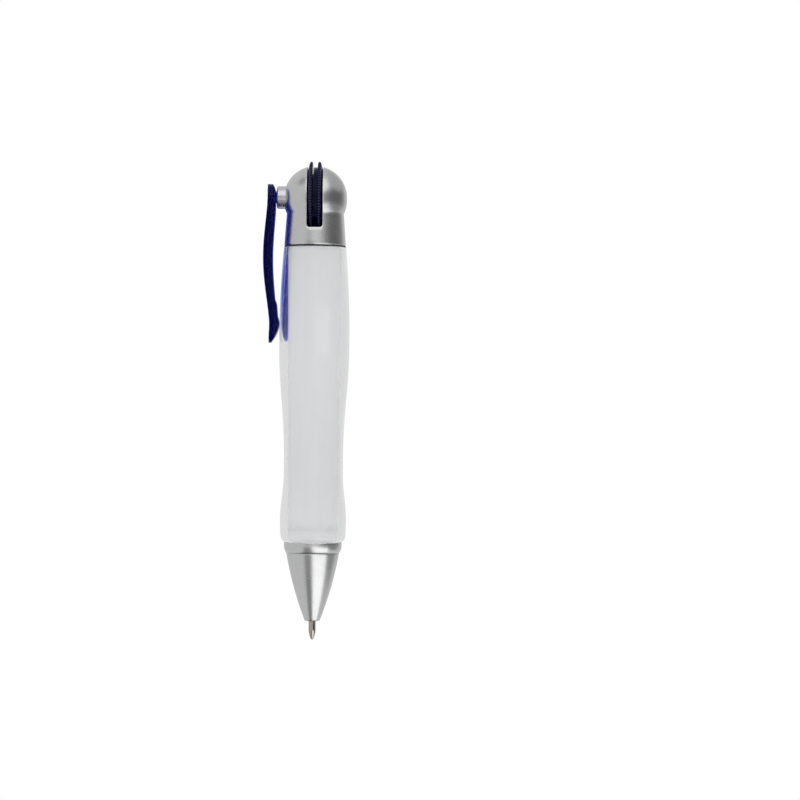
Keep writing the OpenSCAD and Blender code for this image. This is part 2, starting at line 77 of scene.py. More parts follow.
lens = bpy.data.cameras.new("camera")
lens.lens = LENS_MM
lens.sensor_width = SENSOR_MM
camera = bpy.data.objects.new("camera", lens)
camera.matrix_world = (
    Matrix.Translation((VIEW_RIGHT, -VIEW_DISTANCE, VIEW_UP))
    @ Matrix.Rotation(math.radians(90), 4, "X")
    @ Matrix.Rotation(VIEW_ROLL, 4, "Z")
)
scene.collection.objects.link(camera)
scene.camera = camera
print("camera at", [round(value, 3) for value in camera.matrix_world.translation])

# %% [markdown]
# ## Small node helpers
#
# A material is a net of nodes, and most of its links are sums: multiply this, take the larger of
# those. Two helpers write such a sum as one call. The first makes a Math node from sockets or plain
# numbers. The second makes a Map Range node that goes from 0 to 1 over a range of values.

# %% Node helpers
def math_node(tree, operation, *values):
    """The result of a Math node whose inputs are sockets or plain numbers."""
    node = tree.nodes.new("ShaderNodeMath")
    node.operation = operation
    for value, socket in zip(values, node.inputs):
        if isinstance(value, (int, float)):
            socket.default_value = value
        else:
            tree.links.new(value, socket)
    return node.outputs[0]


def map_range(tree, value, start, end, interpolation="LINEAR"):
    """A value that is 0 up to the start of a range and 1 from its end on."""
    node = tree.nodes.new("ShaderNodeMapRange")
    node.interpolation_type = interpolation
    node.inputs["From Min"].default_value = start
    node.inputs["From Max"].default_value = end
    tree.links.new(value, node.inputs["Value"])
    return node.outputs["Result"]


print("node helpers ready")

# %% [markdown]
# ## The white tent
#
# The pen is photographed in a pale tent against pure white. More light on the object would wash it
# out, so the world is white only for rays that come straight from the camera. Reflections and
# clear pieces show the tent dimmer, as its cloth is, and matt surfaces get its soft light. The
# barrel's faces hold back part of the light on its way to the core and back, so the tent makes up
# for it there.

# %% Tent
WHITE = (1, 1, 1, 1)
AMBIENT = 0.9
CORE_LIGHT = 1.22
TENT_WHITE = 0.7
scene.view_settings.view_transform = "Standard"


def tent_light(tree):
    """Two values: whether a ray shows the tent, and how bright the tent is for it."""
    path = tree.nodes.new("ShaderNodeLightPath")
    camera_ray = path.outputs["Is Camera Ray"]
    through = path.outputs["Is Transmission Ray"]
    scattered = math_node(tree, "MINIMUM", path.outputs["Diffuse Depth"], 1)
    extra = math_node(tree, "MULTIPLY_ADD", through, CORE_LIGHT - AMBIENT, AMBIENT - TENT_WHITE)
    level = math_node(tree, "MULTIPLY_ADD", scattered, extra, TENT_WHITE)
    mirrored = math_node(tree, "MAXIMUM", path.outputs["Is Glossy Ray"], through)
    shown = math_node(tree, "MAXIMUM", camera_ray, mirrored)
    return shown, math_node(tree, "MAXIMUM", camera_ray, level)


world = bpy.data.worlds.new("white_tent")
world.use_nodes = True
sky = world.node_tree
sky.nodes["Background"].inputs["Color"].default_value = WHITE
sky_level = tent_light(sky)[1]
sky.links.new(sky_level, sky.nodes["Background"].inputs["Strength"])
scene.world = world
print("world:", world.name)

# %% [markdown]
# ## The floor
#
# The floor is a wide pale disc, far enough below for the nose to be drawn off. A plain grey floor
# would show its edge against the white tent, and a glowing one would hold no shadow. This one is
# mostly the tent's own glow, with a share of matt paint that still takes the pen's shadow.

# %% Floor
FLOOR_Z = -0.3
FLOOR_RADIUS = 1.2
FLOOR_SIDES = 96
FLOOR_GREY = (0.9, 0.9, 0.9, 1)
FLOOR_ROUGH = 0.9
FLOOR_GLOW = 0.85

floor_paint = bpy.data.materials.new("floor_paint")
floor_paint.use_nodes = True
tree = floor_paint.node_tree
matt = tree.nodes["Principled BSDF"]
matt.inputs["Base Color"].default_value = FLOOR_GREY
matt.inputs["Roughness"].default_value = FLOOR_ROUGH
glow = tree.nodes.new("ShaderNodeEmission")
both = tree.nodes.new("ShaderNodeMixShader")
floor_shown, floor_level = tent_light(tree)
tree.links.new(floor_level, glow.inputs["Strength"])
tree.links.new(math_node(tree, "MULTIPLY", floor_shown, FLOOR_GLOW), both.inputs["Fac"])
tree.links.new(matt.outputs[0], both.inputs[1])
tree.links.new(glow.outputs[0], both.inputs[2])
tree.links.new(both.outputs[0], tree.nodes["Material Output"].inputs["Surface"])

disc = bmesh.new()
bmesh.ops.create_circle(disc, cap_ends=True, segments=FLOOR_SIDES, radius=FLOOR_RADIUS)
bmesh.ops.translate(disc, vec=(0, 0, FLOOR_Z), verts=disc.verts[:])
floor_mesh = bpy.data.meshes.new("floor")
disc.to_mesh(floor_mesh)
disc.free()
floor = bpy.data.objects.new("floor", floor_mesh)
floor_mesh.materials.append(floor_paint)
scene.collection.objects.link(floor)
print("floor at", FLOOR_Z, "m")

# %% [markdown]
# ## Lamps
#
# Two large lamps light what is matt: one in front and above, and one overhead. Each stands in a
# direction from the pen, counted from the camera: how far to the right and up, in degrees, the
# angles that it fills, its distance in metres and its glow. Directions are easier to plan than
# places, because a reflection is found by its angle. The lamps themselves have hard edges, so
# reflections don't show them.

# %% Lamps
PEN_MIDDLE_Z = 0.09
# Right, up, wide, high, distance, glow
LAMPS = {
    "lamp_front": (20, 40, 30, 30, 0.9, 0.7),
    "lamp_top": (0, 82, 40, 40, 0.9, 0.5),
}


def studio_place(right, up, distance):
    """The matrix of something that faces the pen from a direction given in degrees."""
    return (
        Matrix.Translation((0, 0, PEN_MIDDLE_Z))
        @ Matrix.Rotation(math.radians(right), 4, "Z")
        @ Matrix.Rotation(math.radians(90 - up), 4, "X")
        @ Matrix.Translation((0, 0, distance))
    )


def studio_size(angle, distance):
    """The width that fills an angle, in degrees, at a distance from the pen."""
    return 2 * distance * math.tan(math.radians(angle / 2))


for name, (right, up, wide, high, distance, glow) in LAMPS.items():
    box = bpy.data.lights.new(name, "AREA")
    box.shape = "RECTANGLE"
    box.size = studio_size(wide, distance)
    box.size_y = studio_size(high, distance)
    box.energy = glow * math.pi * box.size * box.size_y
    lamp = bpy.data.objects.new(name, box)
    lamp.matrix_world = studio_place(right, up, distance)
    lamp.visible_camera = False
    lamp.visible_glossy = False
    scene.collection.objects.link(lamp)
print("lamps:", len(LAMPS))

# %% [markdown]
# ## Paint for the panels
#
# Silver lacquer shows little but its surroundings, so its bright and dark bands are made by what
# stands round it. Area lamps could do that, but they have hard edges in a reflection. The panels are
# sheets whose glow fades into nothing towards their edges. A sheet close to the pen would also show
# in surfaces that it isn't meant for, so its paint can leave out rays that come from too near, or
# that meet it too far from square.

# %% Panel paint
UV_MIDDLE = 0.5


def edge_fade(tree, fading):
    """A value of 1 that falls to 0 over a share of a sheet's width, at its four edges."""
    place = tree.nodes.new("ShaderNodeTexCoord")
    split = tree.nodes.new("ShaderNodeSeparateXYZ")
    tree.links.new(place.outputs["UV"], split.inputs["Vector"])
    fades = []
    for axis in ("X", "Y"):
        offset = math_node(tree, "SUBTRACT", split.outputs[axis], UV_MIDDLE)
        off_middle = math_node(tree, "ABSOLUTE", offset)
        fades.append(map_range(tree, off_middle, UV_MIDDLE, UV_MIDDLE - fading, "SMOOTHSTEP"))
    return math_node(tree, "MULTIPLY", *fades)


def shown_to(tree, nearest, slant):
    """1 for rays from no nearer than a distance that meet the sheet within a slant in degrees."""
    path = tree.nodes.new("ShaderNodeLightPath")
    far_off = math_node(tree, "GREATER_THAN", path.outputs["Ray Length"], nearest)
    weight = tree.nodes.new("ShaderNodeLayerWeight")
    facing = math_node(tree, "SUBTRACT", 1.0, weight.outputs["Facing"])
    square_on = math_node(tree, "GREATER_THAN", facing, math.cos(math.radians(slant)))
    return math_node(tree, "MULTIPLY", far_off, square_on)


def panel_paint(name, colour, glow, fading, nearest=0, slant=90):
    """A glow that fades to a sheet's edges, for rays from far enough and within a slant."""
    paint = bpy.data.materials.new(name)
    paint.use_nodes = True
    tree = paint.node_tree
    light = tree.nodes.new("ShaderNodeEmission")
    light.inputs["Color"].default_value = colour
    light.inputs["Strength"].default_value = glow
    nothing = tree.nodes.new("ShaderNodeBsdfTransparent")
    both = tree.nodes.new("ShaderNodeMixShader")
    seen = math_node(tree, "MULTIPLY", edge_fade(tree, fading), shown_to(tree, nearest, slant))
    tree.links.new(seen, both.inputs["Fac"])
    tree.links.new(nothing.outputs[0], both.inputs[1])
    tree.links.new(light.outputs[0], both.inputs[2])
    tree.links.new(both.outputs[0], tree.nodes["Material Output"].inputs["Surface"])
    return paint


print("panel paint ready")

# %% [markdown]
# ## Panels
#
# Bright panels hang below, beside and above the camera, and dark ones where the silver turns dark.
# They stand in directions, as the lamps do, and the last value is the share of a panel's width that
# fades. They are seen by reflections only, so that they neither light the pen nor shade it.

# %% Panels
HALF_METRE = 0.5
# Right, up, wide, high, distance, glow, fading
PANELS = {
    "bright_low": (31.5, -40, 72, 48, 0.385, 1.55, 0.16),
    "bright_head": (27, 5, 62, 20, 0.1, 1.4, 0.28),
    "bright_high": (16, 47, 80, 62, 0.9, 1.2, 0.16),
    "dark_right": (78, 9, 130, 76, 0.8, 0.13, 0.45),
    "dark_right_low": (86, -27, 80, 50, 0.8, 0.28, 0.4),
    "grey_right_high": (112, 42, 90, 56, 0.75, 0.5, 0.3),
    "dark_left": (-19, -40, 40, 48, 0.36, 0.25, 0.3),
    "dark_camera": (-20, 5, 36, 30, 0.7, 0.35, 0.4),
    "dark_point": (50, -20.5, 60, 7, 0.32, 0.04, 0.3),
    "dark_below": (0, -88, 70, 70, 0.37, 0.05, 0.2),
    "dark_high_left": (-72, 53, 36, 34, 0.7, 0.3, 0.4),
}


def hang_panel(name, place, wide, high, paint):
    """A sheet of a size in metres, at a place, that only reflections show."""
    sheet = bmesh.new()
    sheet.loops.layers.uv.new("sheet")
    bmesh.ops.create_grid(sheet, x_segments=1, y_segments=1, size=HALF_METRE, calc_uvs=True)
    bmesh.ops.scale(sheet, vec=(wide, high, 1), verts=sheet.verts[:])
    bmesh.ops.transform(sheet, matrix=place, verts=sheet.verts[:])
    panel_mesh = bpy.data.meshes.new(name)
    sheet.to_mesh(panel_mesh)
    sheet.free()
    panel_mesh.materials.append(paint)
    panel = bpy.data.objects.new(name, panel_mesh)
    scene.collection.objects.link(panel)
    panel.visible_camera = False
    panel.visible_transmission = False
    panel.visible_diffuse = False
    panel.visible_shadow = False
    return panel


for name, (right, up, wide, high, distance, glow, fading) in PANELS.items():
    hang_panel(
        name, studio_place(right, up, distance), studio_size(wide, distance),
        studio_size(high, distance), panel_paint(name, WHITE, glow, fading),
    )
print("panels:", len(PANELS))

# %% [markdown]
# ## Blue shade
#
# Light that has come through the blue clip colours the cloth close behind the pen. That shade is
# hidden by the pen, but the edge of the clear barrel and the neck show it. Tracing such light would
# take very many samples, so a blue sheet with soft edges stands for it. Unlike the panels, it is
# also seen through clear pieces. A small dark sheet under the bush keeps the blue off it. The back
# of the pen is nearer to both sheets and sees the blue one aslant, so it shows neither.

# %% Blue shade
SHADE_BLUE = (0.012, 0.045, 0.58, 1)
SHADE_MIDDLE = (-0.0128, 0.0143, 0.1165)
SHADE_WIDE, SHADE_HIGH = 0.0116, 0.046
SHADE_GLOW, SHADE_FADING = 1, 0.1
SHADE_NEAREST, SHADE_SLANT = 0.0121, 41
DARK_MIDDLE = (-0.0105, 0.005, 0.1285)
DARK_WIDE, DARK_HIGH = 0.004, 0.014
DARK_GLOW, DARK_FADING = 0.05, 0.2
DARK_NEAREST = 0.0078

shade_paint = panel_paint(
    "blue_shade", SHADE_BLUE, SHADE_GLOW, SHADE_FADING, SHADE_NEAREST, SHADE_SLANT,
)
shade_place = Matrix.Translation(SHADE_MIDDLE) @ Matrix.Rotation(math.radians(90), 4, "X")
shade = hang_panel("blue_shade", shade_place, SHADE_WIDE, SHADE_HIGH, shade_paint)
shade.visible_transmission = True
dark_paint = panel_paint("dark_under_bush", WHITE, DARK_GLOW, DARK_FADING, DARK_NEAREST)
hang_panel("dark_under_bush", Matrix.Translation(DARK_MIDDLE), DARK_WIDE, DARK_HIGH, dark_paint)
print("shade behind the clip at", SHADE_MIDDLE)

# %% [markdown]
# ## Fine grain
#
# Several finishes need the same small effects. Each is a node group, built once and placed in every
# material that shows it, with its own size. The first is the fine grain of a moulded or sprayed
# surface. A noise gives its height, and cells of the same size give each fleck a value of its own.

# %% Fine grain
GRAIN_DETAIL = 2


def new_group(name, inputs, outputs):
    """An empty shader group with float sockets, and its two end nodes."""
    group = bpy.data.node_groups.new(name, "ShaderNodeTree")
    for socket in inputs:
        group.interface.new_socket(socket, in_out="INPUT", socket_type="NodeSocketFloat")
    for socket in outputs:
        group.interface.new_socket(socket, in_out="OUTPUT", socket_type="NodeSocketFloat")
    return group, group.nodes.new("NodeGroupInput"), group.nodes.new("NodeGroupOutput")


grain_group, grain_in, grain_out = new_group("fine_grain", ["Grain size"], ["Height", "Fleck"])
grain_place = grain_group.nodes.new("ShaderNodeTexCoord")
grain_noise = grain_group.nodes.new("ShaderNodeTexNoise")
grain_noise.inputs["Detail"].default_value = GRAIN_DETAIL
grain_cells = grain_group.nodes.new("ShaderNodeTexVoronoi")
grain_scale = math_node(grain_group, "DIVIDE", 1.0, grain_in.outputs["Grain size"])
for texture in (grain_noise, grain_cells):
    grain_group.links.new(grain_place.outputs["Object"], texture.inputs["Vector"])
    grain_group.links.new(grain_scale, texture.inputs["Scale"])
grain_split = grain_group.nodes.new("ShaderNodeSeparateColor")
grain_group.links.new(grain_cells.outputs["Color"], grain_split.inputs["Color"])
grain_group.links.new(grain_noise.outputs["Fac"], grain_out.inputs["Height"])
grain_group.links.new(grain_split.outputs["Red"], grain_out.inputs["Fleck"])
print("group:", grain_group.name)

# %% [markdown]
# ## Handling marks
#
# A pen that has been handled has faint smudges, which show as patches of duller gloss. A detailed,
# slightly twisted noise makes their outlines, and only its higher values count, so that clean
# places stay between the marks.

# %% Handling marks
SMUDGE_DETAIL = 5
SMUDGE_TWIST = 0.6
SMUDGE_FROM, SMUDGE_FULL = 0.45, 0.75

smudge_group, smudge_in, smudge_out = new_group("handling_marks", ["Mark size"], ["Smudge"])
smudge_place = smudge_group.nodes.new("ShaderNodeTexCoord")
smudge_noise = smudge_group.nodes.new("ShaderNodeTexNoise")
smudge_noise.inputs["Detail"].default_value = SMUDGE_DETAIL
smudge_noise.inputs["Distortion"].default_value = SMUDGE_TWIST
smudge_scale = math_node(smudge_group, "DIVIDE", 1.0, smudge_in.outputs["Mark size"])
smudge_group.links.new(smudge_place.outputs["Object"], smudge_noise.inputs["Vector"])
smudge_group.links.new(smudge_scale, smudge_noise.inputs["Scale"])
smudge = map_range(smudge_group, smudge_noise.outputs["Fac"], SMUDGE_FROM, SMUDGE_FULL)
smudge_group.links.new(smudge, smudge_out.inputs["Smudge"])
print("group:", smudge_group.name)

# %% [markdown]
# ## Lathe rings
#
# Turned and drawn metal has fine rings round it. A noise in one dimension, read along the height of
# the piece, makes rings of uneven strength. A wave texture would be too regular for that.

# %% Lathe rings
RING_DETAIL = 1

ring_group, ring_in, ring_out = new_group("lathe_rings", ["Ring pitch"], ["Height"])
ring_place = ring_group.nodes.new("ShaderNodeTexCoord")
ring_split = ring_group.nodes.new("ShaderNodeSeparateXYZ")
ring_noise = ring_group.nodes.new("ShaderNodeTexNoise")
ring_noise.noise_dimensions = "1D"
ring_noise.inputs["Detail"].default_value = RING_DETAIL
ring_group.links.new(ring_place.outputs["Object"], ring_split.inputs["Vector"])
ring_group.links.new(ring_split.outputs["Z"], ring_noise.inputs["W"])
ring_scale = math_node(ring_group, "DIVIDE", 1.0, ring_in.outputs["Ring pitch"])
ring_group.links.new(ring_scale, ring_noise.inputs["Scale"])
ring_group.links.new(ring_noise.outputs["Fac"], ring_out.inputs["Height"])
print("group:", ring_group.name)

# %% [markdown]
# ## Helpers for the finishes
#
# Every finish starts as a Principled shader with plain values on its sockets. A group is then
# placed beside it, and its output is spread over a range into a colour, a roughness or a bump, so
# that no surface is one flat value.

# %% Finish helpers
def new_finish(name, **values):
    """A material, its node tree and its Principled shader with plain socket values set."""
    material = bpy.data.materials.new(name)
    material.use_nodes = True
    tree = material.node_tree
    shader = tree.nodes["Principled BSDF"]
    for socket, value in values.items():
        shader.inputs[socket.replace("_", " ")].default_value = value
    return material, tree, shader


def place_group(tree, group, size):
    """A group node in a material, with its one size set in metres."""
    node = tree.nodes.new("ShaderNodeGroup")
    node.node_tree = group
    node.inputs[0].default_value = size
    return node


def spread(tree, source, ends, target):
    """Feeds a value from 0 to 1 into a socket, between two values."""
    span = tree.nodes.new("ShaderNodeMapRange")
    span.inputs["To Min"].default_value, span.inputs["To Max"].default_value = ends
    tree.links.new(source, span.inputs["Value"])
    tree.links.new(span.outputs["Result"], target)


def tint(tree, source, dark, light, target):
    """Feeds a value from 0 to 1 into a colour socket, between two colours."""
    mixer = tree.nodes.new("ShaderNodeMix")
    mixer.data_type = "RGBA"
    mixer.inputs["A"].default_value = (*dark, 1)
    mixer.inputs["B"].default_value = (*light, 1)
    tree.links.new(source, mixer.inputs["Factor"])
    tree.links.new(mixer.outputs["Result"], target)


def bump(tree, source, height, shader):
    """Raises the surface by a value from 0 to 1, by a height in metres."""
    node = tree.nodes.new("ShaderNodeBump")
    node.inputs["Strength"].default_value = 1
    node.inputs["Distance"].default_value = height
    tree.links.new(source, node.inputs["Height"])
    tree.links.new(node.outputs["Normal"], shader.inputs["Normal"])


print("finish helpers ready")

# %% [markdown]
# ## Silver lacquer
#
# Head, bush, collar and nose are moulded plastic, sprayed with a lacquer of fine metal flakes. It
# mirrors its surroundings softly. A metallic shader of middle roughness does that; the flakes are
# small cells of slightly different brightness, and a fine grain roughens the coat.

# %% Silver lacquer
FLAKE = 0.07 * MM
FLAKE_HEIGHT = 2 * MICRON
SILVER_DARK, SILVER_LIGHT = (0.59, 0.592, 0.598), (0.67, 0.672, 0.676)
SILVER_MARK = 6 * MM
SILVER_ROUGH = (0.26, 0.32)

silver, tree, shader = new_finish("silver_lacquer", Metallic=1.0)
flakes = place_group(tree, grain_group, FLAKE)
tint(tree, flakes.outputs["Fleck"], SILVER_DARK, SILVER_LIGHT, shader.inputs["Base Color"])
marks = place_group(tree, smudge_group, SILVER_MARK)
spread(tree, marks.outputs["Smudge"], SILVER_ROUGH, shader.inputs["Roughness"])
bump(tree, flakes.outputs["Height"], FLAKE_HEIGHT, shader)
print("finish:", silver.name)

# %% [markdown]
# ## Dark blue plastic of the clip
#
# Clip and wheel are moulded in a clear plastic with so much blue dye that they look nearly black,
# while light that has come through a thin place is a strong blue. A dark base colour would lose
# that, so the clip's shader is clear and the dye is an absorption inside it, which deepens with
# the length of the way through.

# %% Blue plastic
BLUE_TINT = (0.8, 0.84, 1, 1)
BLUE_IOR = 1.22
BLUE_MARK = 4 * MM
BLUE_ROUGH = (0.05, 0.12)
BLUE_GRAIN = 0.4 * MM
BLUE_GRAIN_HEIGHT = 3 * MICRON
DYE = (0.16, 0.31, 0.78, 1)
DYE_DENSITY = 1700

blue, tree, shader = new_finish(
    "blue_plastic", Base_Color=BLUE_TINT, IOR=BLUE_IOR, Transmission_Weight=1,
)
marks = place_group(tree, smudge_group, BLUE_MARK)
spread(tree, marks.outputs["Smudge"], BLUE_ROUGH, shader.inputs["Roughness"])
grain = place_group(tree, grain_group, BLUE_GRAIN)
bump(tree, grain.outputs["Height"], BLUE_GRAIN_HEIGHT, shader)
dye = tree.nodes.new("ShaderNodeVolumeAbsorption")
dye.inputs["Color"].default_value = DYE
dye.inputs["Density"].default_value = DYE_DENSITY
tree.links.new(dye.outputs[0], tree.nodes["Material Output"].inputs["Volume"])
print("finish:", blue.name)

# %% [markdown]
# ## Dark blue plastic of the wheel
#
# No light comes through the thick wheel, so its shader is a plain dark blue. The crests between its
# grip notches are painted a little paler. This is a painted highlight that stands for the glints the
# light above makes on each notch. Their place could be painted as an attribute. It is worked out
# here from the angle round the axle, with as many waves as the wheel has notches, and from the
# radius, so that only the outermost rim gets the painted highlight.

# %% Navy plastic
NOTCHES = 80
# Painted highlight: where and how pale the notch crests are painted, standing for the light's glints
CREST_FROM, CREST_FULL = 0.2, 0.867
GLINT_FROM, GLINT_FULL = 10.9 * MM, 11.025 * MM
PAINTED_GLINT_BLUE = (0.042, 0.05, 0.12, 1)
NAVY_DARK, NAVY_LIGHT = (0.001, 0.001, 0.014), (0.003, 0.003, 0.034)
NAVY_GLOSS = 0.1
NAVY_ROUGH = (0.12, 0.2)
wheel_joint = next(joint for joint in frame["joints"] if joint["name"] == "wheel_turn")
axle_height = wheel_joint["pos_m"][2]

navy, tree, shader = new_finish("navy_plastic", Specular_IOR_Level=NAVY_GLOSS)
place = tree.nodes.new("ShaderNodeTexCoord")
split = tree.nodes.new("ShaderNodeSeparateXYZ")
tree.links.new(place.outputs["Object"], split.inputs["Vector"])
up = math_node(tree, "SUBTRACT", split.outputs["Z"], axle_height)
out = split.outputs["Y"]
angle = math_node(tree, "ARCTAN2", up, out)
wave = math_node(tree, "COSINE", math_node(tree, "MULTIPLY", angle, NOTCHES))
crest = map_range(tree, wave, CREST_FROM, CREST_FULL)
squares = math_node(tree, "MULTIPLY_ADD", up, up, math_node(tree, "MULTIPLY", out, out))
rim = map_range(tree, math_node(tree, "SQRT", squares), GLINT_FROM, GLINT_FULL)
# Painted highlight: the paler blue on the crests stands for glints of the light, not for wear
painted_glint = tree.nodes.new("ShaderNodeMix")
painted_glint.data_type = "RGBA"
painted_glint.inputs["B"].default_value = PAINTED_GLINT_BLUE
tree.links.new(math_node(tree, "MULTIPLY", crest, rim), painted_glint.inputs["Factor"])
tree.links.new(painted_glint.outputs["Result"], shader.inputs["Base Color"])
grain = place_group(tree, grain_group, BLUE_GRAIN)
tint(tree, grain.outputs["Height"], NAVY_DARK, NAVY_LIGHT, painted_glint.inputs["A"])
bump(tree, grain.outputs["Height"], BLUE_GRAIN_HEIGHT, shader)
marks = place_group(tree, smudge_group, BLUE_MARK)
spread(tree, marks.outputs["Smudge"], NAVY_ROUGH, shader.inputs["Roughness"])
print("finish:", navy.name)

# %% [markdown]
# ## Clear plastic
#
# Barrel and end ring are polished clear plastic. A see-through alpha would be quicker, but it bends
# no light. Real walls with an outer and an inner face do, which gives the paler bands along the
# edges of the barrel and mirrors the clip there. Only faint smudges keep the polish from being
# perfect. Light can run round inside the wall for long, and a renderer gives up after a few
# reflections, which leaves dark edges. So a ray that has been reflected twice is let out of the
# wall as it is.

# %% Clear plastic
CLEAR_TINT = (0.985, 0.99, 0.995, 1)
CLEAR_IOR = 1.49
CLEAR_MARK = 9 * MM
CLEAR_ROUGH = (0.0, 0.035)
# Between one reflection and two
REFLECTIONS_KEPT = 1.5

clear, tree, shader = new_finish(
    "clear_plastic", Base_Color=CLEAR_TINT, IOR=CLEAR_IOR, Transmission_Weight=1,
)
marks = place_group(tree, smudge_group, CLEAR_MARK)
spread(tree, marks.outputs["Smudge"], CLEAR_ROUGH, shader.inputs["Roughness"])
path = tree.nodes.new("ShaderNodeLightPath")
kept_inside = math_node(tree, "LESS_THAN", path.outputs["Glossy Depth"], REFLECTIONS_KEPT)
tree.links.new(kept_inside, shader.inputs["Alpha"])
print("finish:", clear.name)

# %% [markdown]
# ## White plastic and paper
#
# The core is white moulded plastic, and the sheet rolled round it is plain paper. Both are matt. One
# white could serve for both, but plastic is smoother and brighter. The paper has fibres: a grain in
# its colour, its roughness and, deeper than on the plastic, its surface.

# %% White plastic and paper
PLASTIC_DARK, PLASTIC_LIGHT = (0.9, 0.9, 0.905), (0.94, 0.94, 0.945)
PLASTIC_GRAIN, PLASTIC_GRAIN_HEIGHT = 0.5 * MM, 4 * MICRON
PLASTIC_MARK = 5 * MM
PLASTIC_ROUGH = (0.38, 0.5)
PAPER_DARK, PAPER_LIGHT = (0.86, 0.86, 0.865), (0.92, 0.92, 0.925)
PAPER_GRAIN, PAPER_GRAIN_HEIGHT = 0.35 * MM, 12 * MICRON
PAPER_ROUGH = (0.8, 0.95)

white, tree, shader = new_finish("white_plastic")
grain = place_group(tree, grain_group, PLASTIC_GRAIN)
tint(tree, grain.outputs["Height"], PLASTIC_DARK, PLASTIC_LIGHT, shader.inputs["Base Color"])
marks = place_group(tree, smudge_group, PLASTIC_MARK)
spread(tree, marks.outputs["Smudge"], PLASTIC_ROUGH, shader.inputs["Roughness"])
bump(tree, grain.outputs["Height"], PLASTIC_GRAIN_HEIGHT, shader)

paper, tree, shader = new_finish("paper")
grain = place_group(tree, grain_group, PAPER_GRAIN)
tint(tree, grain.outputs["Height"], PAPER_DARK, PAPER_LIGHT, shader.inputs["Base Color"])
spread(tree, grain.outputs["Height"], PAPER_ROUGH, shader.inputs["Roughness"])
bump(tree, grain.outputs["Height"], PAPER_GRAIN_HEIGHT, shader)
print("finishes:", white.name, paper.name)

# %% [markdown]
# ## Metals
#
# Point, refill tube, spring and axle are bare metal, drawn or turned, with fine rings round them.
# They differ in colour, in polish and in the pitch of the rings only, so one function makes all
# three metals.

# %% Metals
METAL_MARK = 3 * MM
METAL_DULLING = 0.12
RING_HEIGHT = 3 * MICRON


def metal_finish(name, dark, light, rough, pitch):
    """A turned metal: rings in its colour and its surface, and smudges in its polish."""
    material, tree, shader = new_finish(name, Metallic=1.0)
    rings = place_group(tree, ring_group, pitch)
    tint(tree, rings.outputs["Height"], dark, light, shader.inputs["Base Color"])
    marks = place_group(tree, smudge_group, METAL_MARK)
    dulled = (rough, rough + METAL_DULLING)
    spread(tree, marks.outputs["Smudge"], dulled, shader.inputs["Roughness"])
    bump(tree, rings.outputs["Height"], RING_HEIGHT, shader)
    return material


steel = metal_finish(
    "steel", dark=(0.5, 0.5, 0.51), light=(0.62, 0.62, 0.63), rough=0.2, pitch=0.06 * MM,
)
brass = metal_finish(
    "brass", dark=(0.62, 0.42, 0.15), light=(0.74, 0.54, 0.24), rough=0.22, pitch=0.15 * MM,
)
point_metal = metal_finish(
    "nickel_silver", dark=(0.4, 0.36, 0.31), light=(0.52, 0.47, 0.41), rough=0.08, pitch=0.08 * MM,
)
print("finishes:", steel.name, brass.name, point_metal.name)

# %% [markdown]
# ## Rubber and ink
#
# The washer is dull rubber, which shows as a dark line. The ink is a glossy paste of nearly black
# blue, hidden in the refill. Both need little more than a colour, so the grain alone varies it and
# the gloss.

# %% Rubber and ink
RUBBER_DARK, RUBBER_LIGHT = (0.012, 0.012, 0.014), (0.03, 0.03, 0.033)
RUBBER_GRAIN = 0.12 * MM
RUBBER_ROUGH = (0.5, 0.75)
INK_DARK, INK_LIGHT = (0.004, 0.004, 0.05), (0.01, 0.01, 0.09)
INK_GRAIN = 0.8 * MM
INK_ROUGH = (0.1, 0.25)
INK_IOR = 1.45

rubber, tree, shader = new_finish("washer_rubber")
grain = place_group(tree, grain_group, RUBBER_GRAIN)
tint(tree, grain.outputs["Height"], RUBBER_DARK, RUBBER_LIGHT, shader.inputs["Base Color"])
spread(tree, grain.outputs["Height"], RUBBER_ROUGH, shader.inputs["Roughness"])

ink, tree, shader = new_finish("ink_paste", IOR=INK_IOR)
grain = place_group(tree, grain_group, INK_GRAIN)
tint(tree, grain.outputs["Height"], INK_DARK, INK_LIGHT, shader.inputs["Base Color"])
spread(tree, grain.outputs["Height"], INK_ROUGH, shader.inputs["Roughness"])
print("finishes:", rubber.name, ink.name)

# %% [markdown]
# ## Levels of the stack
#
# The pieces are stacked on one axis. Their heights could be written down once more. They are read
# from the CAD nodes instead, so that the looks stay with the solids. Work goes on in millimetres:
# small numbers in metres would come close to the distances at which mesh operators merge points.

# %% Levels
def low(node):
    """The lower end of a CAD node, in millimetres."""
    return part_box(node)[0][2] / MM


def high(node):
    """The upper end of a CAD node, in millimetres."""
    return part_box(node)[1][2] / MM


z_nose = low("nose_cone")
z_collar = low("nose_collar")
z_ring = low("end_ring")
z_barrel = low("barrel")
z_washer = low("barrel_washer")
z_head = low("head_shell")
z_axle = axle_height / MM
levels = (z_nose, z_collar, z_ring, z_barrel, z_washer, z_head, z_axle)
print("levels:", [round(value, 2) for value in levels])

# %% [markdown]
# ## Drawing an outline
#
# Nearly every piece of a pen is turned about its axis. Its half outline is drawn as one flat face,
# and the corners of that face are rounded by a vertex bevel. Rounding the outline before the spin
# is simpler than bevelling a finished solid, and every edge then catches light.

# %% Outlines
CORNER_SEGMENTS = 4


def mix(a, b, t):
    """A value between two others, at a share of the way from the first."""
    return a + (b - a) * t


def draw_outline(bm, corners):
    """A closed outline in the XZ plane. Each corner is x, z and the radius that rounds it."""
    face = bm.faces.new([bm.verts.new((x, 0, z)) for x, z, radius in corners])
    rounded = {}
    for vert, (x, z, radius) in zip(face.verts[:], corners):
        rounded.setdefault(radius, []).append(vert)
    for radius, verts in rounded.items():
        if radius:
            bmesh.ops.bevel(
                bm, geom=verts, offset=radius, offset_type="OFFSET", segments=CORNER_SEGMENTS,
                profile=0.5, affect="VERTICES", material=-1,
            )
    bmesh.ops.delete(bm, geom=bm.faces[:], context="FACES_ONLY")


print("outline helpers ready")

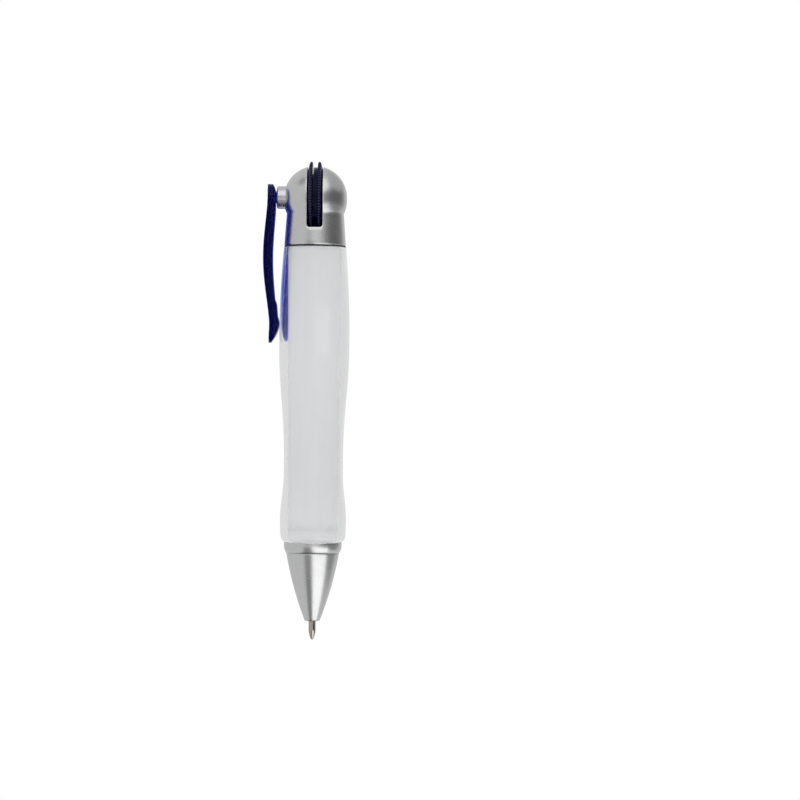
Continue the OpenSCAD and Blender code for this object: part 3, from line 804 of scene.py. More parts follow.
# %% [markdown]
# ## Turning it on the lathe
#
# The outline is then spun into a closed ring. A screw modifier would do it too, but the operator
# leaves a mesh that the next steps can cut and move. Where an outline touches the axis, the spin
# leaves many points in one place and an edge without faces, so they are merged and taken out.

# %% Turning
ROUND_STEPS = 128
MERGE = 1e-4


def tidy_mesh(bm):
    """Merges what coincides, as at the poles, and turns every face outwards."""
    bmesh.ops.remove_doubles(bm, verts=bm.verts[:], dist=MERGE)
    bmesh.ops.recalc_face_normals(bm, faces=bm.faces[:])


def turn(bm, axis=(0, 0, 1), height=0, steps=ROUND_STEPS):
    """Spins what has been drawn once round an axis through the middle of the pen."""
    bmesh.ops.spin(
        bm, geom=bm.verts[:] + bm.edges[:], cent=(0, 0, height), axis=axis,
        angle=2 * math.pi, steps=steps, use_merge=True,
    )
    tidy_mesh(bm)
    on_axis = [edge for edge in bm.edges if edge.is_wire]
    bmesh.ops.delete(bm, geom=on_axis, context="EDGES")


def turned(corners, axis=(0, 0, 1), height=0, steps=ROUND_STEPS):
    """A closed turned solid from the corners of its half outline."""
    bm = bmesh.new()
    draw_outline(bm, corners)
    turn(bm, axis, height, steps)
    return bm


print("steps round a turned piece:", ROUND_STEPS)

# %% [markdown]
# ## From a mesh to a piece
#
# A finished mesh becomes an object that rides a body of the pen, so that it moves with the joints,
# and stands for its CAD nodes. Faces are shaded smooth, and edges sharper than a limit stay crisp.
# Open edges are counted, because a closed mesh should have none.

# %% Making a piece
SHARP = math.radians(38)


def make_piece(name, bm, body, slot, material, *nodes):
    """Turns a bmesh in millimetres into a piece that rides a body and stands for CAD nodes."""
    bmesh.ops.scale(bm, vec=(MM, MM, MM), verts=bm.verts[:])
    for face in bm.faces:
        face.smooth = True
    for edge in bm.edges:
        edge.smooth = edge.calc_face_angle(0) < SHARP
    open_edges = sum(not edge.is_manifold for edge in bm.edges)
    mesh = bpy.data.meshes.new(name)
    bm.to_mesh(mesh)
    bm.free()
    mesh.materials.append(material)
    piece = bpy.data.objects.new(name, mesh)
    scene.collection.objects.link(piece)
    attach(piece, body)
    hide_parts(*nodes)
    print(name, "faces:", len(mesh.polygons), "open edges:", open_edges)


print("edges stay crisp from", round(math.degrees(SHARP)), "degrees on")

# %% [markdown]
# ## Core
#
# A white tube runs through the pen and holds it together. It tapers slightly, as a moulded piece
# does, so that it leaves its mould, and steps in at the top to a spigot for the head. A cylinder
# primitive has neither, so the core is a full turn of its outline.

# %% Core
CORE_FOOT_R = 7.6
CORE_TOP_R = 8.2
CORE_BORE_R = 6.45
CORE_SPIGOT_R = 7.55
CORE_FOOT_ROUND, CORE_SPIGOT_ROUND = 0.35, 0.4
SOFT, FINE = 0.2, 0.1
z_core_top = high("core_tube")


def core_r(z):
    """The core's radius at a height."""
    return mix(CORE_FOOT_R, CORE_TOP_R, (z - z_ring) / (z_head - z_ring))


core = turned([
    (CORE_BORE_R, z_ring, SOFT), (CORE_FOOT_R, z_ring, CORE_FOOT_ROUND),
    (CORE_TOP_R, z_head, FINE), (CORE_SPIGOT_R, z_head, 0),
    (CORE_SPIGOT_R, z_core_top, CORE_SPIGOT_ROUND), (CORE_BORE_R, z_core_top, SOFT),
])
make_piece("white_core", core, "pen_body", "white_plastic", white, "core_tube")

# %% [markdown]
# ## Paper sheet
#
# A sheet of paper lies round the core, rolled from one piece, so it has a slit where its two edges
# meet, at the back. It could be a flat grid with a bend modifier. A turn that stops short is
# simpler, and its two open ends are filled. The same helper winds the thread and the spring later,
# which climb as they turn.

# %% Paper sheet
SHEET_T = 0.12
SHEET_LIFT = 0.03
SHEET_SLIT = math.radians(12)
z_sheet = (low("insert_sheet"), high("insert_sheet"))
sheet_foot_r, sheet_top_r = (core_r(z) + SHEET_LIFT for z in z_sheet)


def wind(bm, angle, steps, climb=0):
    """Spins an outline by an angle, with a climb on every step, and fills its two ends."""
    bmesh.ops.spin(
        bm, geom=bm.verts[:] + bm.edges[:], cent=(0, 0, 0), axis=(0, 0, 1),
        dvec=(0, 0, climb), angle=angle, steps=steps,
    )
    bmesh.ops.holes_fill(bm, edges=[edge for edge in bm.edges if edge.is_boundary], sides=0)
    tidy_mesh(bm)


sheet = bmesh.new()
draw_outline(sheet, [
    (sheet_foot_r, z_sheet[0], 0), (sheet_foot_r + SHEET_T, z_sheet[0], 0),
    (sheet_top_r + SHEET_T, z_sheet[1], 0), (sheet_top_r, z_sheet[1], 0),
])
start = Matrix.Rotation(math.radians(90) + SHEET_SLIT / 2, 3, "Z")
bmesh.ops.rotate(sheet, cent=(0, 0, 0), matrix=start, verts=sheet.verts[:])
wind(sheet, 2 * math.pi - SHEET_SLIT, ROUND_STEPS)
make_piece("paper_sheet", sheet, "pen_body", "paper", paper, "insert_sheet")

# %% [markdown]
# ## Outline of the barrel
#
# The barrel swells to a belly under the head, draws in to a waist for the fingers and swells again
# above the nose. A free curve could follow that line, but a chain of eased steps between a few
# radii is easier to change and can't wobble.

# %% Barrel outline
BARREL_FOOT_R = 10.2
BULGE_UP, BULGE_R = 2.6, 10.25
WAIST_UP, WAIST_H, WAIST_R = 17, 3, 9.16
BELLY_UP, BELLY_R = 59.1, 10.88
BARREL_TOP_R = 9.6
waist_end = WAIST_UP + WAIST_H
barrel_h = z_washer - z_barrel


def ease(t):
    """A step from 0 to 1 that starts and ends level."""
    return t * t * (3 - 2 * t)


def ease_long(t):
    """The same with longer level ends."""
    return t**3 * (t * (6 * t - 15) + 10)


def barrel_r(up):
    """The barrel's outer radius at a height above its foot."""
    if up < BULGE_UP:
        return mix(BULGE_R, BARREL_FOOT_R, (1 - up / BULGE_UP) ** 2)
    if up < WAIST_UP:
        return mix(BULGE_R, WAIST_R, ease((up - BULGE_UP) / (WAIST_UP - BULGE_UP)))
    if up < waist_end:
        return WAIST_R
    if up < BELLY_UP:
        return mix(WAIST_R, BELLY_R, ease_long((up - waist_end) / (BELLY_UP - waist_end)))
    return mix(BELLY_R, BARREL_TOP_R, ((up - BELLY_UP) / (barrel_h - BELLY_UP)) ** 2)


print("barrel:", round(barrel_h, 2), "mm high, belly", BELLY_R, "waist", WAIST_R)

# %% [markdown]
# ## Clear barrel
#
# Outside, the barrel follows that line. Inside, its bore stays straight, clear of the core by the
# room for the sheet. Steps are short where the line bends and long where it runs straight. A fine
# joint is left at the washer: two clear or glossy faces in one place would flicker.

# %% Barrel
SLEEVE_GAP = 0.3
JOINT_GAP = 0.02
JOINT_ROUND, JOINT_BORE_ROUND = 0.015, 0.01
BARREL_TOP_ROUND, BORE_ROUND = 0.25, 0.15
BARREL_STEPS = (6, 20, 3, 40, 28)
z_barrel_top = z_washer - JOINT_GAP


def bore_r(z):
    """The bore of barrel and end ring at a height."""
    return core_r(z) + SLEEVE_GAP


bends = (0, BULGE_UP, WAIST_UP, waist_end, BELLY_UP, barrel_h)
barrel_side = [(barrel_r(0), z_barrel, JOINT_ROUND)]
for (start_up, end_up), steps in zip(zip(bends, bends[1:]), BARREL_STEPS):
    for step in range(1, steps + 1):
        up = mix(start_up, end_up, step / steps)
        barrel_side.append((barrel_r(up), z_barrel + up, 0))
barrel_side[-1] = (BARREL_TOP_R, z_barrel_top, BARREL_TOP_ROUND)
barrel_bore = [
    (bore_r(z_washer), z_barrel_top, BORE_ROUND),
    (bore_r(z_barrel), z_barrel, JOINT_BORE_ROUND),
]
barrel = turned(barrel_side + barrel_bore)
make_piece("clear_barrel", barrel, "pen_body", "clear_plastic", clear, "barrel")

# %% [markdown]
# ## End ring
#
# A clear ring with a rounded lower edge closes the barrel below, with the same fine joint above and
# below. A vertex bevel could round that edge, but it is part of a circle that stops before it runs
# level, so its points are set along that arc.

# %% End ring
RING_EDGE_R, RING_EDGE_H, RING_EDGE_STEPS = 2.4, 2.0, 10
RING_TAPER = 0.15
edge_x = BARREL_FOOT_R - RING_TAPER - RING_EDGE_R
edge_z = z_ring + RING_EDGE_H
edge_start = -math.asin((RING_EDGE_H - JOINT_GAP) / RING_EDGE_R)
edge_turns = [mix(edge_start, 0, step / RING_EDGE_STEPS) for step in range(RING_EDGE_STEPS + 1)]
z_ring_foot, z_ring_top = z_ring + JOINT_GAP, z_barrel - JOINT_GAP

ring_edge = [
    (edge_x + RING_EDGE_R * math.cos(a), edge_z + RING_EDGE_R * math.sin(a), 0) for a in edge_turns
]
ring = turned(
    [(bore_r(z_ring), z_ring_foot, BORE_ROUND)] + ring_edge
    + [(BARREL_FOOT_R, z_ring_top, JOINT_ROUND), (bore_r(z_barrel), z_ring_top, JOINT_BORE_ROUND)]
)
make_piece("clear_ring", ring, "nose", "clear_plastic", clear, "end_ring")

# %% [markdown]
# ## Washer
#
# A thin dark washer parts the barrel from the head. It is a turned rectangle with eased edges, set
# back a little between its two neighbours, so that it shows as a line and not as a step.

# %% Washer
NECK_FOOT_R = 9.55
WASHER_SET_BACK = 0.02
washer_r = NECK_FOOT_R - WASHER_SET_BACK
z_washer_top = high("barrel_washer")
washer = turned([
    (bore_r(z_head), z_washer, 0), (washer_r, z_washer, FINE),
    (washer_r, z_washer_top, FINE), (bore_r(z_head), z_washer_top, 0),
])
make_piece("dark_washer", washer, "pen_body", "washer", rubber, "barrel_washer")

# %% [markdown]
# ## Skin of the head
#
# The head is a thin-walled ball, slightly taller than wide, on a neck. A slot for the wheel runs
# over it from front to back. A boolean would cut that slot, but would leave long thin triangles
# that spoil the reflections. Here the outside is spun first, as a skin without thickness, with
# rings of points where the slot will end.

# %% Head skin
BALL_R = 9.77
BALL_STRETCH = 0.85
NECK_TOP_R = 8.83
SLOT_DROP, SLOT_CORNER_R = 9.6, 0.9
SUPPORT_DROP = 1.2
NECK_ROW = 1.6
BALL_STEPS = (11, 32)
HEAD_STEPS = 144
z_slot = z_axle - SLOT_DROP
z_slot_side = z_slot + SLOT_CORNER_R
z_support = z_slot - SUPPORT_DROP
z_low_ball = z_axle - BALL_STRETCH
z_neck = z_low_ball - math.sqrt(BALL_R**2 - NECK_TOP_R**2)


def neck_r(z):
    """The neck's radius at a height."""
    return mix(NECK_FOOT_R, NECK_TOP_R, (z - z_head) / (z_neck - z_head))


neck_rows = [z_head, z_head + NECK_ROW, z_head + 2 * NECK_ROW, z_support, z_slot, z_slot_side]
neck_rows += [mix(z_slot_side, z_neck, share) for share in (1 / 3, 2 / 3)]
ball_start = math.acos(NECK_TOP_R / BALL_R)
lower, upper = BALL_STEPS
low_angles = [mix(-ball_start, 0, step / lower) for step in range(lower + 1)]
high_angles = [mix(0, math.radians(90), step / upper) for step in range(upper + 1)]
head_line = [(neck_r(z), z) for z in neck_rows]
head_line += [(BALL_R * math.cos(a), z_low_ball + BALL_R * math.sin(a)) for a in low_angles]
head_line += [(BALL_R * math.cos(a), z_axle + BALL_R * math.sin(a)) for a in high_angles]

head = bmesh.new()
line_verts = [head.verts.new((radius, 0, z)) for radius, z in head_line]
for first, second in zip(line_verts, line_verts[1:]):
    head.edges.new((first, second))
turn(head, steps=HEAD_STEPS)
print("head skin faces:", len(head.faces))

# %% [markdown]
# ## Cutting the slot
#
# The skin is cut along the two sides of the slot, and by a few more planes where its lower corners
# will be round. Points that nearly lie on a side are first moved onto it along their own ring,
# because a cut beside them would leave slivers. The strip between the sides is then taken out.

# %% Slot in the head
SLOT_HALF = 2.45
SNAP = 0.16
NEAR = 1e-3
CORNER_TURNS = (0, 20, 40, 60, 78)
corner_x = SLOT_HALF - SLOT_CORNER_R


def cut_along_x(bm, x, faces):
    """Cuts some faces along the plane at x."""
    edges = {edge for face in faces for edge in face.edges}
    verts = {vert for face in faces for vert in face.verts}
    bmesh.ops.bisect_plane(
        bm, geom=list(faces) + list(edges) + list(verts), dist=MERGE,
        plane_co=(x, 0, 0), plane_no=(1, 0, 0),
    )


def faces_between(bm, z_from, z_to=math.inf):
    """The faces whose middles lie between two heights."""
    return [face for face in bm.faces if z_from < face.calc_center_median().z < z_to]


for vert in head.verts:
    ring_r = math.hypot(vert.co.x, vert.co.y)
    if abs(abs(vert.co.x) - SLOT_HALF) < SNAP and ring_r > SLOT_HALF:
        vert.co.x = math.copysign(SLOT_HALF, vert.co.x)
        vert.co.y = math.copysign(math.sqrt(ring_r**2 - SLOT_HALF**2), vert.co.y)

for side in (-1, 1):
    cut_along_x(head, side * SLOT_HALF, faces_between(head, z_support))
    for turn_deg in CORNER_TURNS:
        x = side * (corner_x + SLOT_CORNER_R * math.sin(math.radians(turn_deg)))
        cut_along_x(head, x, faces_between(head, z_support, z_slot_side))

inside_slot = [face for face in faces_between(head, z_slot)
               if abs(face.calc_center_median().x) < SLOT_HALF]
bmesh.ops.delete(head, geom=inside_slot, context="FACES")
print("faces taken out for the slot:", len(inside_slot))

# %% [markdown]
# ## Rounding the slot's corners
#
# A milled or moulded slot has round corners. A bevel takes material away, but these corners need
# some added. So the row of points along the lower end of the slot is raised into two quarter
# circles, and each point is put back onto the neck at its new height.

# %% Slot corners
for vert in head.verts:
    beyond = abs(vert.co.x) - corner_x
    if abs(vert.co.z - z_slot) < NEAR and -NEAR < beyond < SLOT_CORNER_R + NEAR:
        drop = math.sqrt(max(0, SLOT_CORNER_R**2 - beyond**2))
        vert.co.z = z_slot_side - drop
        vert.co.y = math.copysign(math.sqrt(neck_r(vert.co.z) ** 2 - vert.co.x**2), vert.co.y)
tidy_mesh(head)
print("open edges round the slot and the foot:", sum(edge.is_boundary for edge in head.edges))

# %% [markdown]
# ## Inside of the head
#
# The wall gets its thickness from a second copy of the skin, moved inwards along the normals. A
# solidify operator would tilt the faces along the slot. Here the points on the rims move level and
# along the slot's sides, so that the slot keeps straight walls.

# %% Inside of the head
HEAD_WALL = 1.6


def is_foot(vert):
    """Whether a point lies on the foot of the head."""
    return abs(vert.co.z - z_head) < NEAR


outer_rim = [edge for edge in head.edges if edge.is_boundary]
rim_verts = {vert for edge in outer_rim for vert in edge.verts}
inward = {}
head.normal_update()
for vert in head.verts:
    way = vert.normal.copy()
    if is_foot(vert):
        way.z = 0
    elif vert in rim_verts:
        way.x = 0
        if vert.co.z < z_axle:
            way.z = 0
    inward[vert] = way.normalized() * -HEAD_WALL

copy = bmesh.ops.duplicate(head, geom=head.verts[:] + head.edges[:] + head.faces[:])
for outer, inner in copy["vert_map"].items():
    if outer in inward:
        inner.co = outer.co + inward[outer]
        if abs(outer.co.x) >= SLOT_HALF - NEAR:
            inner.co.x = math.copysign(max(abs(inner.co.x), SLOT_HALF), outer.co.x)
inner_edges = [part for part in copy["geom"] if isinstance(part, bmesh.types.BMEdge)]
inner_rim = [edge for edge in inner_edges if edge.is_boundary]
inner_faces = [part for part in copy["geom"] if isinstance(part, bmesh.types.BMFace)]
bmesh.ops.reverse_faces(head, faces=inner_faces)
print("inner skin faces:", len(inner_faces))

# %% [markdown]
# ## Closing the head
#
# Bridges join the two skins along the slot and along the foot. The outer rims are then bevelled:
# the foot in a soft curve, the slot with a fine edge that catches the light.

# %% Closing the head
FOOT_ROUND, FOOT_SEGMENTS = 0.5, 4
RIM_BEVEL, RIM_SEGMENTS = 0.13, 2


def rim_part(edges, foot):
    """The edges on the foot, or those round the slot."""
    return [edge for edge in edges if all(is_foot(vert) for vert in edge.verts) == foot]


def bevel_edges(bm, edges, offset, segments):
    """Rounds some edges of a mesh."""
    bmesh.ops.bevel(
        bm, geom=edges, offset=offset, offset_type="OFFSET", segments=segments, profile=0.5,
        affect="EDGES", clamp_overlap=True, material=-1,
    )


for foot in (True, False):
    bmesh.ops.bridge_loops(head, edges=rim_part(outer_rim, foot) + rim_part(inner_rim, foot))
tidy_mesh(head)
for foot, offset, segments in ((True, FOOT_ROUND, FOOT_SEGMENTS), (False, RIM_BEVEL, RIM_SEGMENTS)):
    rim = rim_part([edge for edge in outer_rim if edge.is_valid], foot)
    bevel_edges(head, rim, offset, segments)
make_piece("silver_head", head, "pen_body", "silver_plastic", silver, "head_shell")

# %% [markdown]
# ## Bush of the clip
#
# A short silver bush stands out of the side of the head and holds the clip's peg. It could be turned
# upright and laid over afterwards. It is turned about a line along X at the height of the axle, so
# that its corners are written where they end up.

# %% Bush
ALONG_X = (1, 0, 0)
BUSH_R = 3.5
BUSH_OUT, BUSH_IN = -11.9, -7.4
BUSH_ROUND, SOCKET_ROUND = 0.5, 0.15
BUSH_STEPS = 96
PEG_R, PEG_GAP = 1.9, 0.15
SOCKET_END = -8.9
socket_r = PEG_R + PEG_GAP


def turned_x(corners, steps):
    """A solid turned about the axle's line, from corners of x, radius and rounding."""
    raised = [(x, z_axle + radius, rounding) for x, radius, rounding in corners]
    return turned(raised, ALONG_X, z_axle, steps)


bush = turned_x([
    (BUSH_IN, 0, 0), (BUSH_IN, BUSH_R, 0), (BUSH_OUT, BUSH_R, BUSH_ROUND),
    (BUSH_OUT, socket_r, SOCKET_ROUND), (SOCKET_END, socket_r, 0), (SOCKET_END, 0, 0),
], BUSH_STEPS)
make_piece("silver_bush", bush, "pen_body", "silver_plastic", silver, "clip_bush")

# %% [markdown]
# ## Line of the clip
#
# The clip is a bowed blade, thick at its peg and thin at its end, that swings back in to the barrel
# and flares out again below. Its middle line and its thickness are functions of the depth below the
# axle. They could be curves drawn by hand, but functions keep the blade's two faces together.

# %% Clip line
CLIP_TOP, CLIP_DROP, BUMP_DROP = 4.15, 45.1, 38.95
CLIP_T, CLIP_TAIL_T, CLIP_END_T, CLIP_SWELL = 2.6, 2.2, 0.9, 0.6
CLIP_BOW, BOW_EASE, CLIP_FLARE = 1.35, 1.6, 0.8
CLIP_ROOT_X = 13.55
BUMP_H, BUMP_GAP = 0.9, 0.12
tail_drop = CLIP_DROP - BUMP_DROP
bump_seat_r = barrel_r(z_axle - BUMP_DROP - z_barrel) + BUMP_GAP
clip_seat_x = bump_seat_r + BUMP_H + CLIP_TAIL_T / 2


def clip_middle(down):
    """The distance of the blade's middle from the pen's axis, at a depth below the axle."""
    if down < 0:
        return CLIP_ROOT_X
    if down < BUMP_DROP:
        t = down / BUMP_DROP
        return mix(CLIP_ROOT_X, clip_seat_x, t) + CLIP_BOW * math.sin(math.pi * t) ** BOW_EASE
    return clip_seat_x + CLIP_FLARE * ((down - BUMP_DROP) / tail_drop) ** 2


def clip_thick(down):
    """The blade's thickness at a depth below the axle."""
    if down < BUMP_DROP:
        t = max(down, 0) / BUMP_DROP
        return mix(CLIP_T, CLIP_TAIL_T, t) + CLIP_SWELL * math.sin(math.pi * t)
    return mix(CLIP_TAIL_T, CLIP_END_T, ((down - BUMP_DROP) / tail_drop) ** 3)


print("clip from", round(-CLIP_ROOT_X, 2), "at the peg to", round(-clip_seat_x, 2), "at the bump")

# %% [markdown]
# ## Bump and width of the clip
#
# A raised pad and a round bump on the inner face hold the hem of a pocket. Seen from the side of the
# pen, the blade narrows slightly and has two rounded ends. These are functions of the depth too.

# %% Clip bump and width
BUMP_R, BUMP_TAIL = 5.3, 5.5
PAD_L, PAD_H, PAD_RAMP = 7.2, 0.45, 1.3
CLIP_HALF, CLIP_TAIL_HALF = 4.1, 3.7
top_middle = CLIP_HALF - CLIP_TOP
end_middle = CLIP_DROP - CLIP_TAIL_HALF


def clamp(value):
    """A value held between 0 and 1."""
    return max(0, min(1, value))


def bump_rise(down):
    """How far pad and bump stand off the blade's inner face."""
    up = BUMP_DROP - down
    pad = PAD_H * clamp((PAD_L - up) / PAD_RAMP)
    if up < 0:
        return BUMP_H * max(0, 1 - (up / BUMP_TAIL) ** 2)
    if up < BUMP_R:
        return max(pad, math.sqrt(BUMP_R**2 - up**2) - BUMP_R + BUMP_H)
    return pad


def clip_half_width(down):
    """Half the blade's width: straight sides between a wide and a narrow rounded end."""
    if down < top_middle:
        return math.sqrt(max(0, CLIP_HALF**2 - (top_middle - down) ** 2))
    if down > end_middle:
        return math.sqrt(max(0, CLIP_TAIL_HALF**2 - (down - end_middle) ** 2))
    return mix(CLIP_HALF, CLIP_TAIL_HALF, (down - top_middle) / (end_middle - top_middle))


print("clip", 2 * CLIP_HALF, "mm wide at the peg,", 2 * CLIP_TAIL_HALF, "mm at its end")

# %% [markdown]
# ## Blade of the clip
#
# A grid is laid out in the blade's front view, with closer rows where its ends are round. It is
# thickened by an extrusion, and its two faces are then set to the blade's curves, the outer one
# with a slight crown. A subdivision surface would be softer, but it would lose the sharp rims that
# catch the light, which a bevel makes here.

# %% Clip blade
CLIP_COLUMNS, CLIP_ROWS = 6, 72
CLIP_CROWN, CLIP_BEVEL = 0.2, 0.9
CLIP_RIM, CLIP_RIM_SEGMENTS, CLIP_RIM_ANGLE = 0.3, 3, math.radians(50)
END_ANGLES = (7, 20, 34, 48, 62, 76)
end_cosines = [math.cos(math.radians(a)) for a in END_ANGLES]
top_rows = [top_middle - CLIP_HALF * cosine for cosine in end_cosines]
end_rows = [end_middle + CLIP_TAIL_HALF * cosine for cosine in end_cosines]
middle_rows = [mix(top_middle, end_middle, step / CLIP_ROWS) for step in range(CLIP_ROWS + 1)]
rows = top_rows + middle_rows + end_rows[::-1]

clip = bmesh.new()
bmesh.ops.create_grid(clip, x_segments=CLIP_COLUMNS, y_segments=len(rows) - 1, size=1)
for vert in clip.verts:
    row = round((vert.co.y + 1) / 2 * (len(rows) - 1))
    down = rows[row]
    vert.co = (0, vert.co.x * clip_half_width(down), z_axle - down)
shell = bmesh.ops.extrude_face_region(clip, geom=clip.faces[:], use_keep_orig=True)
inner_verts = {part for part in shell["geom"] if isinstance(part, bmesh.types.BMVert)}
for vert in clip.verts:
    down = z_axle - vert.co.z
    across = vert.co.y / max(clip_half_width(down), NEAR)
    middle, half = -clip_middle(down), clip_thick(down) / 2
    if vert in inner_verts:
        to_top = CLIP_TOP + down
        bevel_in = CLIP_BEVEL * clamp(1 - to_top / (2 * CLIP_BEVEL))
        vert.co.x = middle + half + bump_rise(down) - bevel_in
    else:
        vert.co.x = middle - half + CLIP_CROWN * across**2
tidy_mesh(clip)
rims = [edge for edge in clip.edges if edge.calc_face_angle(0) > CLIP_RIM_ANGLE]
bevel_edges(clip, rims, CLIP_RIM, CLIP_RIM_SEGMENTS)
print("blade faces:", len(clip.faces))

# %% [markdown]
# ## Peg of the clip
#
# A round peg on the blade's inner face sits in the bush. It is turned on its own and moved into the
# blade's mesh, where it starts just under the face. Blade and peg are one moulding, so they are one
# piece.

# %% Clip peg
PEG_END = -9.4
PEG_SINK, PEG_ROUND, PEG_STEPS = 0.05, 0.25, 64


def join(bm, other):
    """Moves another bmesh into this one."""
    holder = bpy.data.meshes.new("holder")
    other.to_mesh(holder)
    other.free()
    bm.from_mesh(holder)
    bpy.data.meshes.remove(holder)


peg_start = -CLIP_ROOT_X + CLIP_T / 2 - PEG_SINK
peg = turned_x([
    (peg_start, 0, 0), (peg_start, PEG_R, 0), (PEG_END, PEG_R, PEG_ROUND), (PEG_END, 0, 0),
], PEG_STEPS)
join(clip, peg)
make_piece("blue_clip", clip, "clip", "blue_plastic", blue, "clip")

# %% [markdown]
# ## Thumb wheel
#
# The wheel has two flanges with rounded tips and a groove between them. The floor of the groove is a
# cam, on which the plunger rides, and a slit parts the cam from one of the flanges. The section is
# drawn once for one flange, mirrored for the other, and spun about the axle, with enough steps for
# the notches that follow.

# %% Wheel section
WHEEL_R, WHEEL_HALF, GROOVE_HALF = 11.12, 2.3, 0.8
CAM_R, BORE_R = 9.4, 1.06
TIP_R, FLANGE_BEVEL, FLANGE_ROUND = 0.45, 2.2, 0.2
TIP_ANGLES = (-90, -60, -30, 0, 25, 50, 75)
WALL_ROW, BEVEL_ROW = 0.5, 0.4
SLIT_W, SLIT_R = 0.35, 7.4
NOTCH_STEPS = 6
tip_x, tip_z = GROOVE_HALF + TIP_R, WHEEL_R - TIP_R
slit_x = SLIT_W - GROOVE_HALF
bevel_foot = WHEEL_R - FLANGE_BEVEL

tip_turns = [math.radians(a) for a in TIP_ANGLES]
tip = [(tip_x + TIP_R * math.sin(a), tip_z + TIP_R * math.cos(a), 0) for a in tip_turns]
wall = [(GROOVE_HALF, CAM_R, 0), (GROOVE_HALF, mix(CAM_R, tip_z, WALL_ROW), 0)]
outside = [
    (mix(tip[-1][0], WHEEL_HALF, BEVEL_ROW), mix(tip[-1][1], bevel_foot, BEVEL_ROW), 0),
    (WHEEL_HALF, bevel_foot, FLANGE_ROUND), (WHEEL_HALF, BORE_R, 0),
]
flange = wall + tip + outside
slit = [(-GROOVE_HALF, SLIT_R, 0), (slit_x, SLIT_R, 0), (slit_x, CAM_R, 0)]
mirrored = [(-x, radius, rounding) for x, radius, rounding in flange[:0:-1]]
wheel = turned_x(mirrored + slit + flange, NOTCHES * NOTCH_STEPS)
print("wheel faces:", len(wheel.faces), "widest", 2 * WHEEL_R, "mm")

# %% [markdown]
# ## Cam, slit and notches
#
# The cam is a spiral ramp over part of the turn, the slit is open in the wheel's upper part only,
# and fine notches run round the flanges. All three change round the wheel, so they are made after
# the spin by moving points in or out along their radius. Cutting eighty notches with booleans would
# be slow and would leave ragged edges.

# %% Cam, slit and notches
LIFT, TURN = 6.6, math.radians(150)
RAMP_START = math.radians(-90)
NOSE_REACH, BLADE_ROOM = 10.52, 1.12
BORE_MARGIN = 1
SLIT_END, SLIT_DEPTH_LEAST, SLIT_CLOSED = 3.5, 0.1, 0.03
NOTCH_D, NOTCH_REACH, NOTCH_FADE = 0.28, 1.2, 1.4
ramp_end = TURN + math.asin(BLADE_ROOM / (NOSE_REACH - LIFT))


def ramp_floor(turned_by):
    """The radius of the groove's floor after the wheel has turned by an angle."""
    reach = NOSE_REACH - LIFT * min(turned_by, TURN) / TURN
    return reach - BLADE_ROOM / math.cos(math.atan(LIFT / TURN / reach))


def floor_radius(radius, angle, height):
    """Where a point of the cam or of the slit belongs."""
    turned_by = (angle - RAMP_START) % (2 * math.pi)
    ramp = ramp_floor(turned_by) if turned_by < ramp_end else CAM_R
    if radius > SLIT_R + NEAR:
        return ramp
    if height > -SLIT_END:
        return min(SLIT_R, ramp - SLIT_DEPTH_LEAST)
    return ramp - SLIT_CLOSED


def notch_radius(radius, angle):
    """Where a point of a flange belongs, as the notches wave in and out."""
    fade = min(1, NOTCH_FADE * (radius - WHEEL_R + NOTCH_REACH) / NOTCH_REACH)
    return radius - NOTCH_D * fade * (0.5 - 0.5 * math.cos(NOTCHES * angle))


for vert in wheel.verts:
    height = vert.co.z - z_axle
    radius = math.hypot(vert.co.y, height)
    angle = math.atan2(height, vert.co.y)
    in_groove = abs(vert.co.x) < GROOVE_HALF + NEAR
    moved = radius
    if in_groove and BORE_R + BORE_MARGIN < radius < CAM_R + NEAR:
        moved = floor_radius(radius, angle, height)
    elif radius > WHEEL_R - NOTCH_REACH:
        moved = notch_radius(radius, angle)
    vert.co.y *= moved / radius
    vert.co.z = z_axle + height * moved / radius
make_piece("blue_wheel", wheel, "wheel", "blue_plastic", navy, "thumb_wheel")

# %% [markdown]
# ## Nose
#
# The silver cone has a slight bulge, which a straight cone would miss, and a fine bevel where it
# meets its collar. Above the collar a spigot goes into the core. Inside is the stepped bore for
# refill and spring. All of it is one outline, turned.

# %% Nose
NOSE_TIP_R, NOSE_TOP_R, NOSE_BULGE = 2.3, 8.2, 0.58
NOSE_STEPS = 30
SEAM_BEVEL, SPIGOT_ROUND = 0.15, 0.25
THREAD_ROOT_R = 4.45
POINT_BORE_R, SPRING_BORE_R, REFILL_BORE_R = 1.22, 2.42, 3.31
Z_SEAT, Z_SHOULDER = 9.4, 17.1
z_spigot = high("nose_cone")


def nose_r(z):
    """The cone's radius at a height."""
    t = (z - z_nose) / (z_collar - z_nose)
    return mix(NOSE_TIP_R, NOSE_TOP_R, t) + NOSE_BULGE * 4 * t * (1 - t)


nose_rows = [mix(z_nose, z_collar, step / NOSE_STEPS) for step in range(1, NOSE_STEPS)]
nose = turned(
    [(POINT_BORE_R, z_nose, FINE), (nose_r(z_nose), z_nose, SOFT)]
    + [(nose_r(z), z, 0) for z in nose_rows]
    + [(nose_r(z_collar), z_collar, SEAM_BEVEL), (THREAD_ROOT_R, z_collar, 0),
       (THREAD_ROOT_R, z_spigot, SPIGOT_ROUND), (REFILL_BORE_R, z_spigot, SOFT),
       (REFILL_BORE_R, Z_SHOULDER, 0), (SPRING_BORE_R, Z_SHOULDER, FINE),
       (SPRING_BORE_R, Z_SEAT, 0), (POINT_BORE_R, Z_SEAT, FINE)]
)
print("nose faces:", len(nose.faces))

# %% [markdown]
# ## Thread of the nose
#
# The spigot screws into a bush in the core, so a thread is wound round it. It shows when the nose is
# off. A screw modifier would make it too; here a small trapezium is spun with a climb on every step,
# its two ends are filled, and it joins the nose.

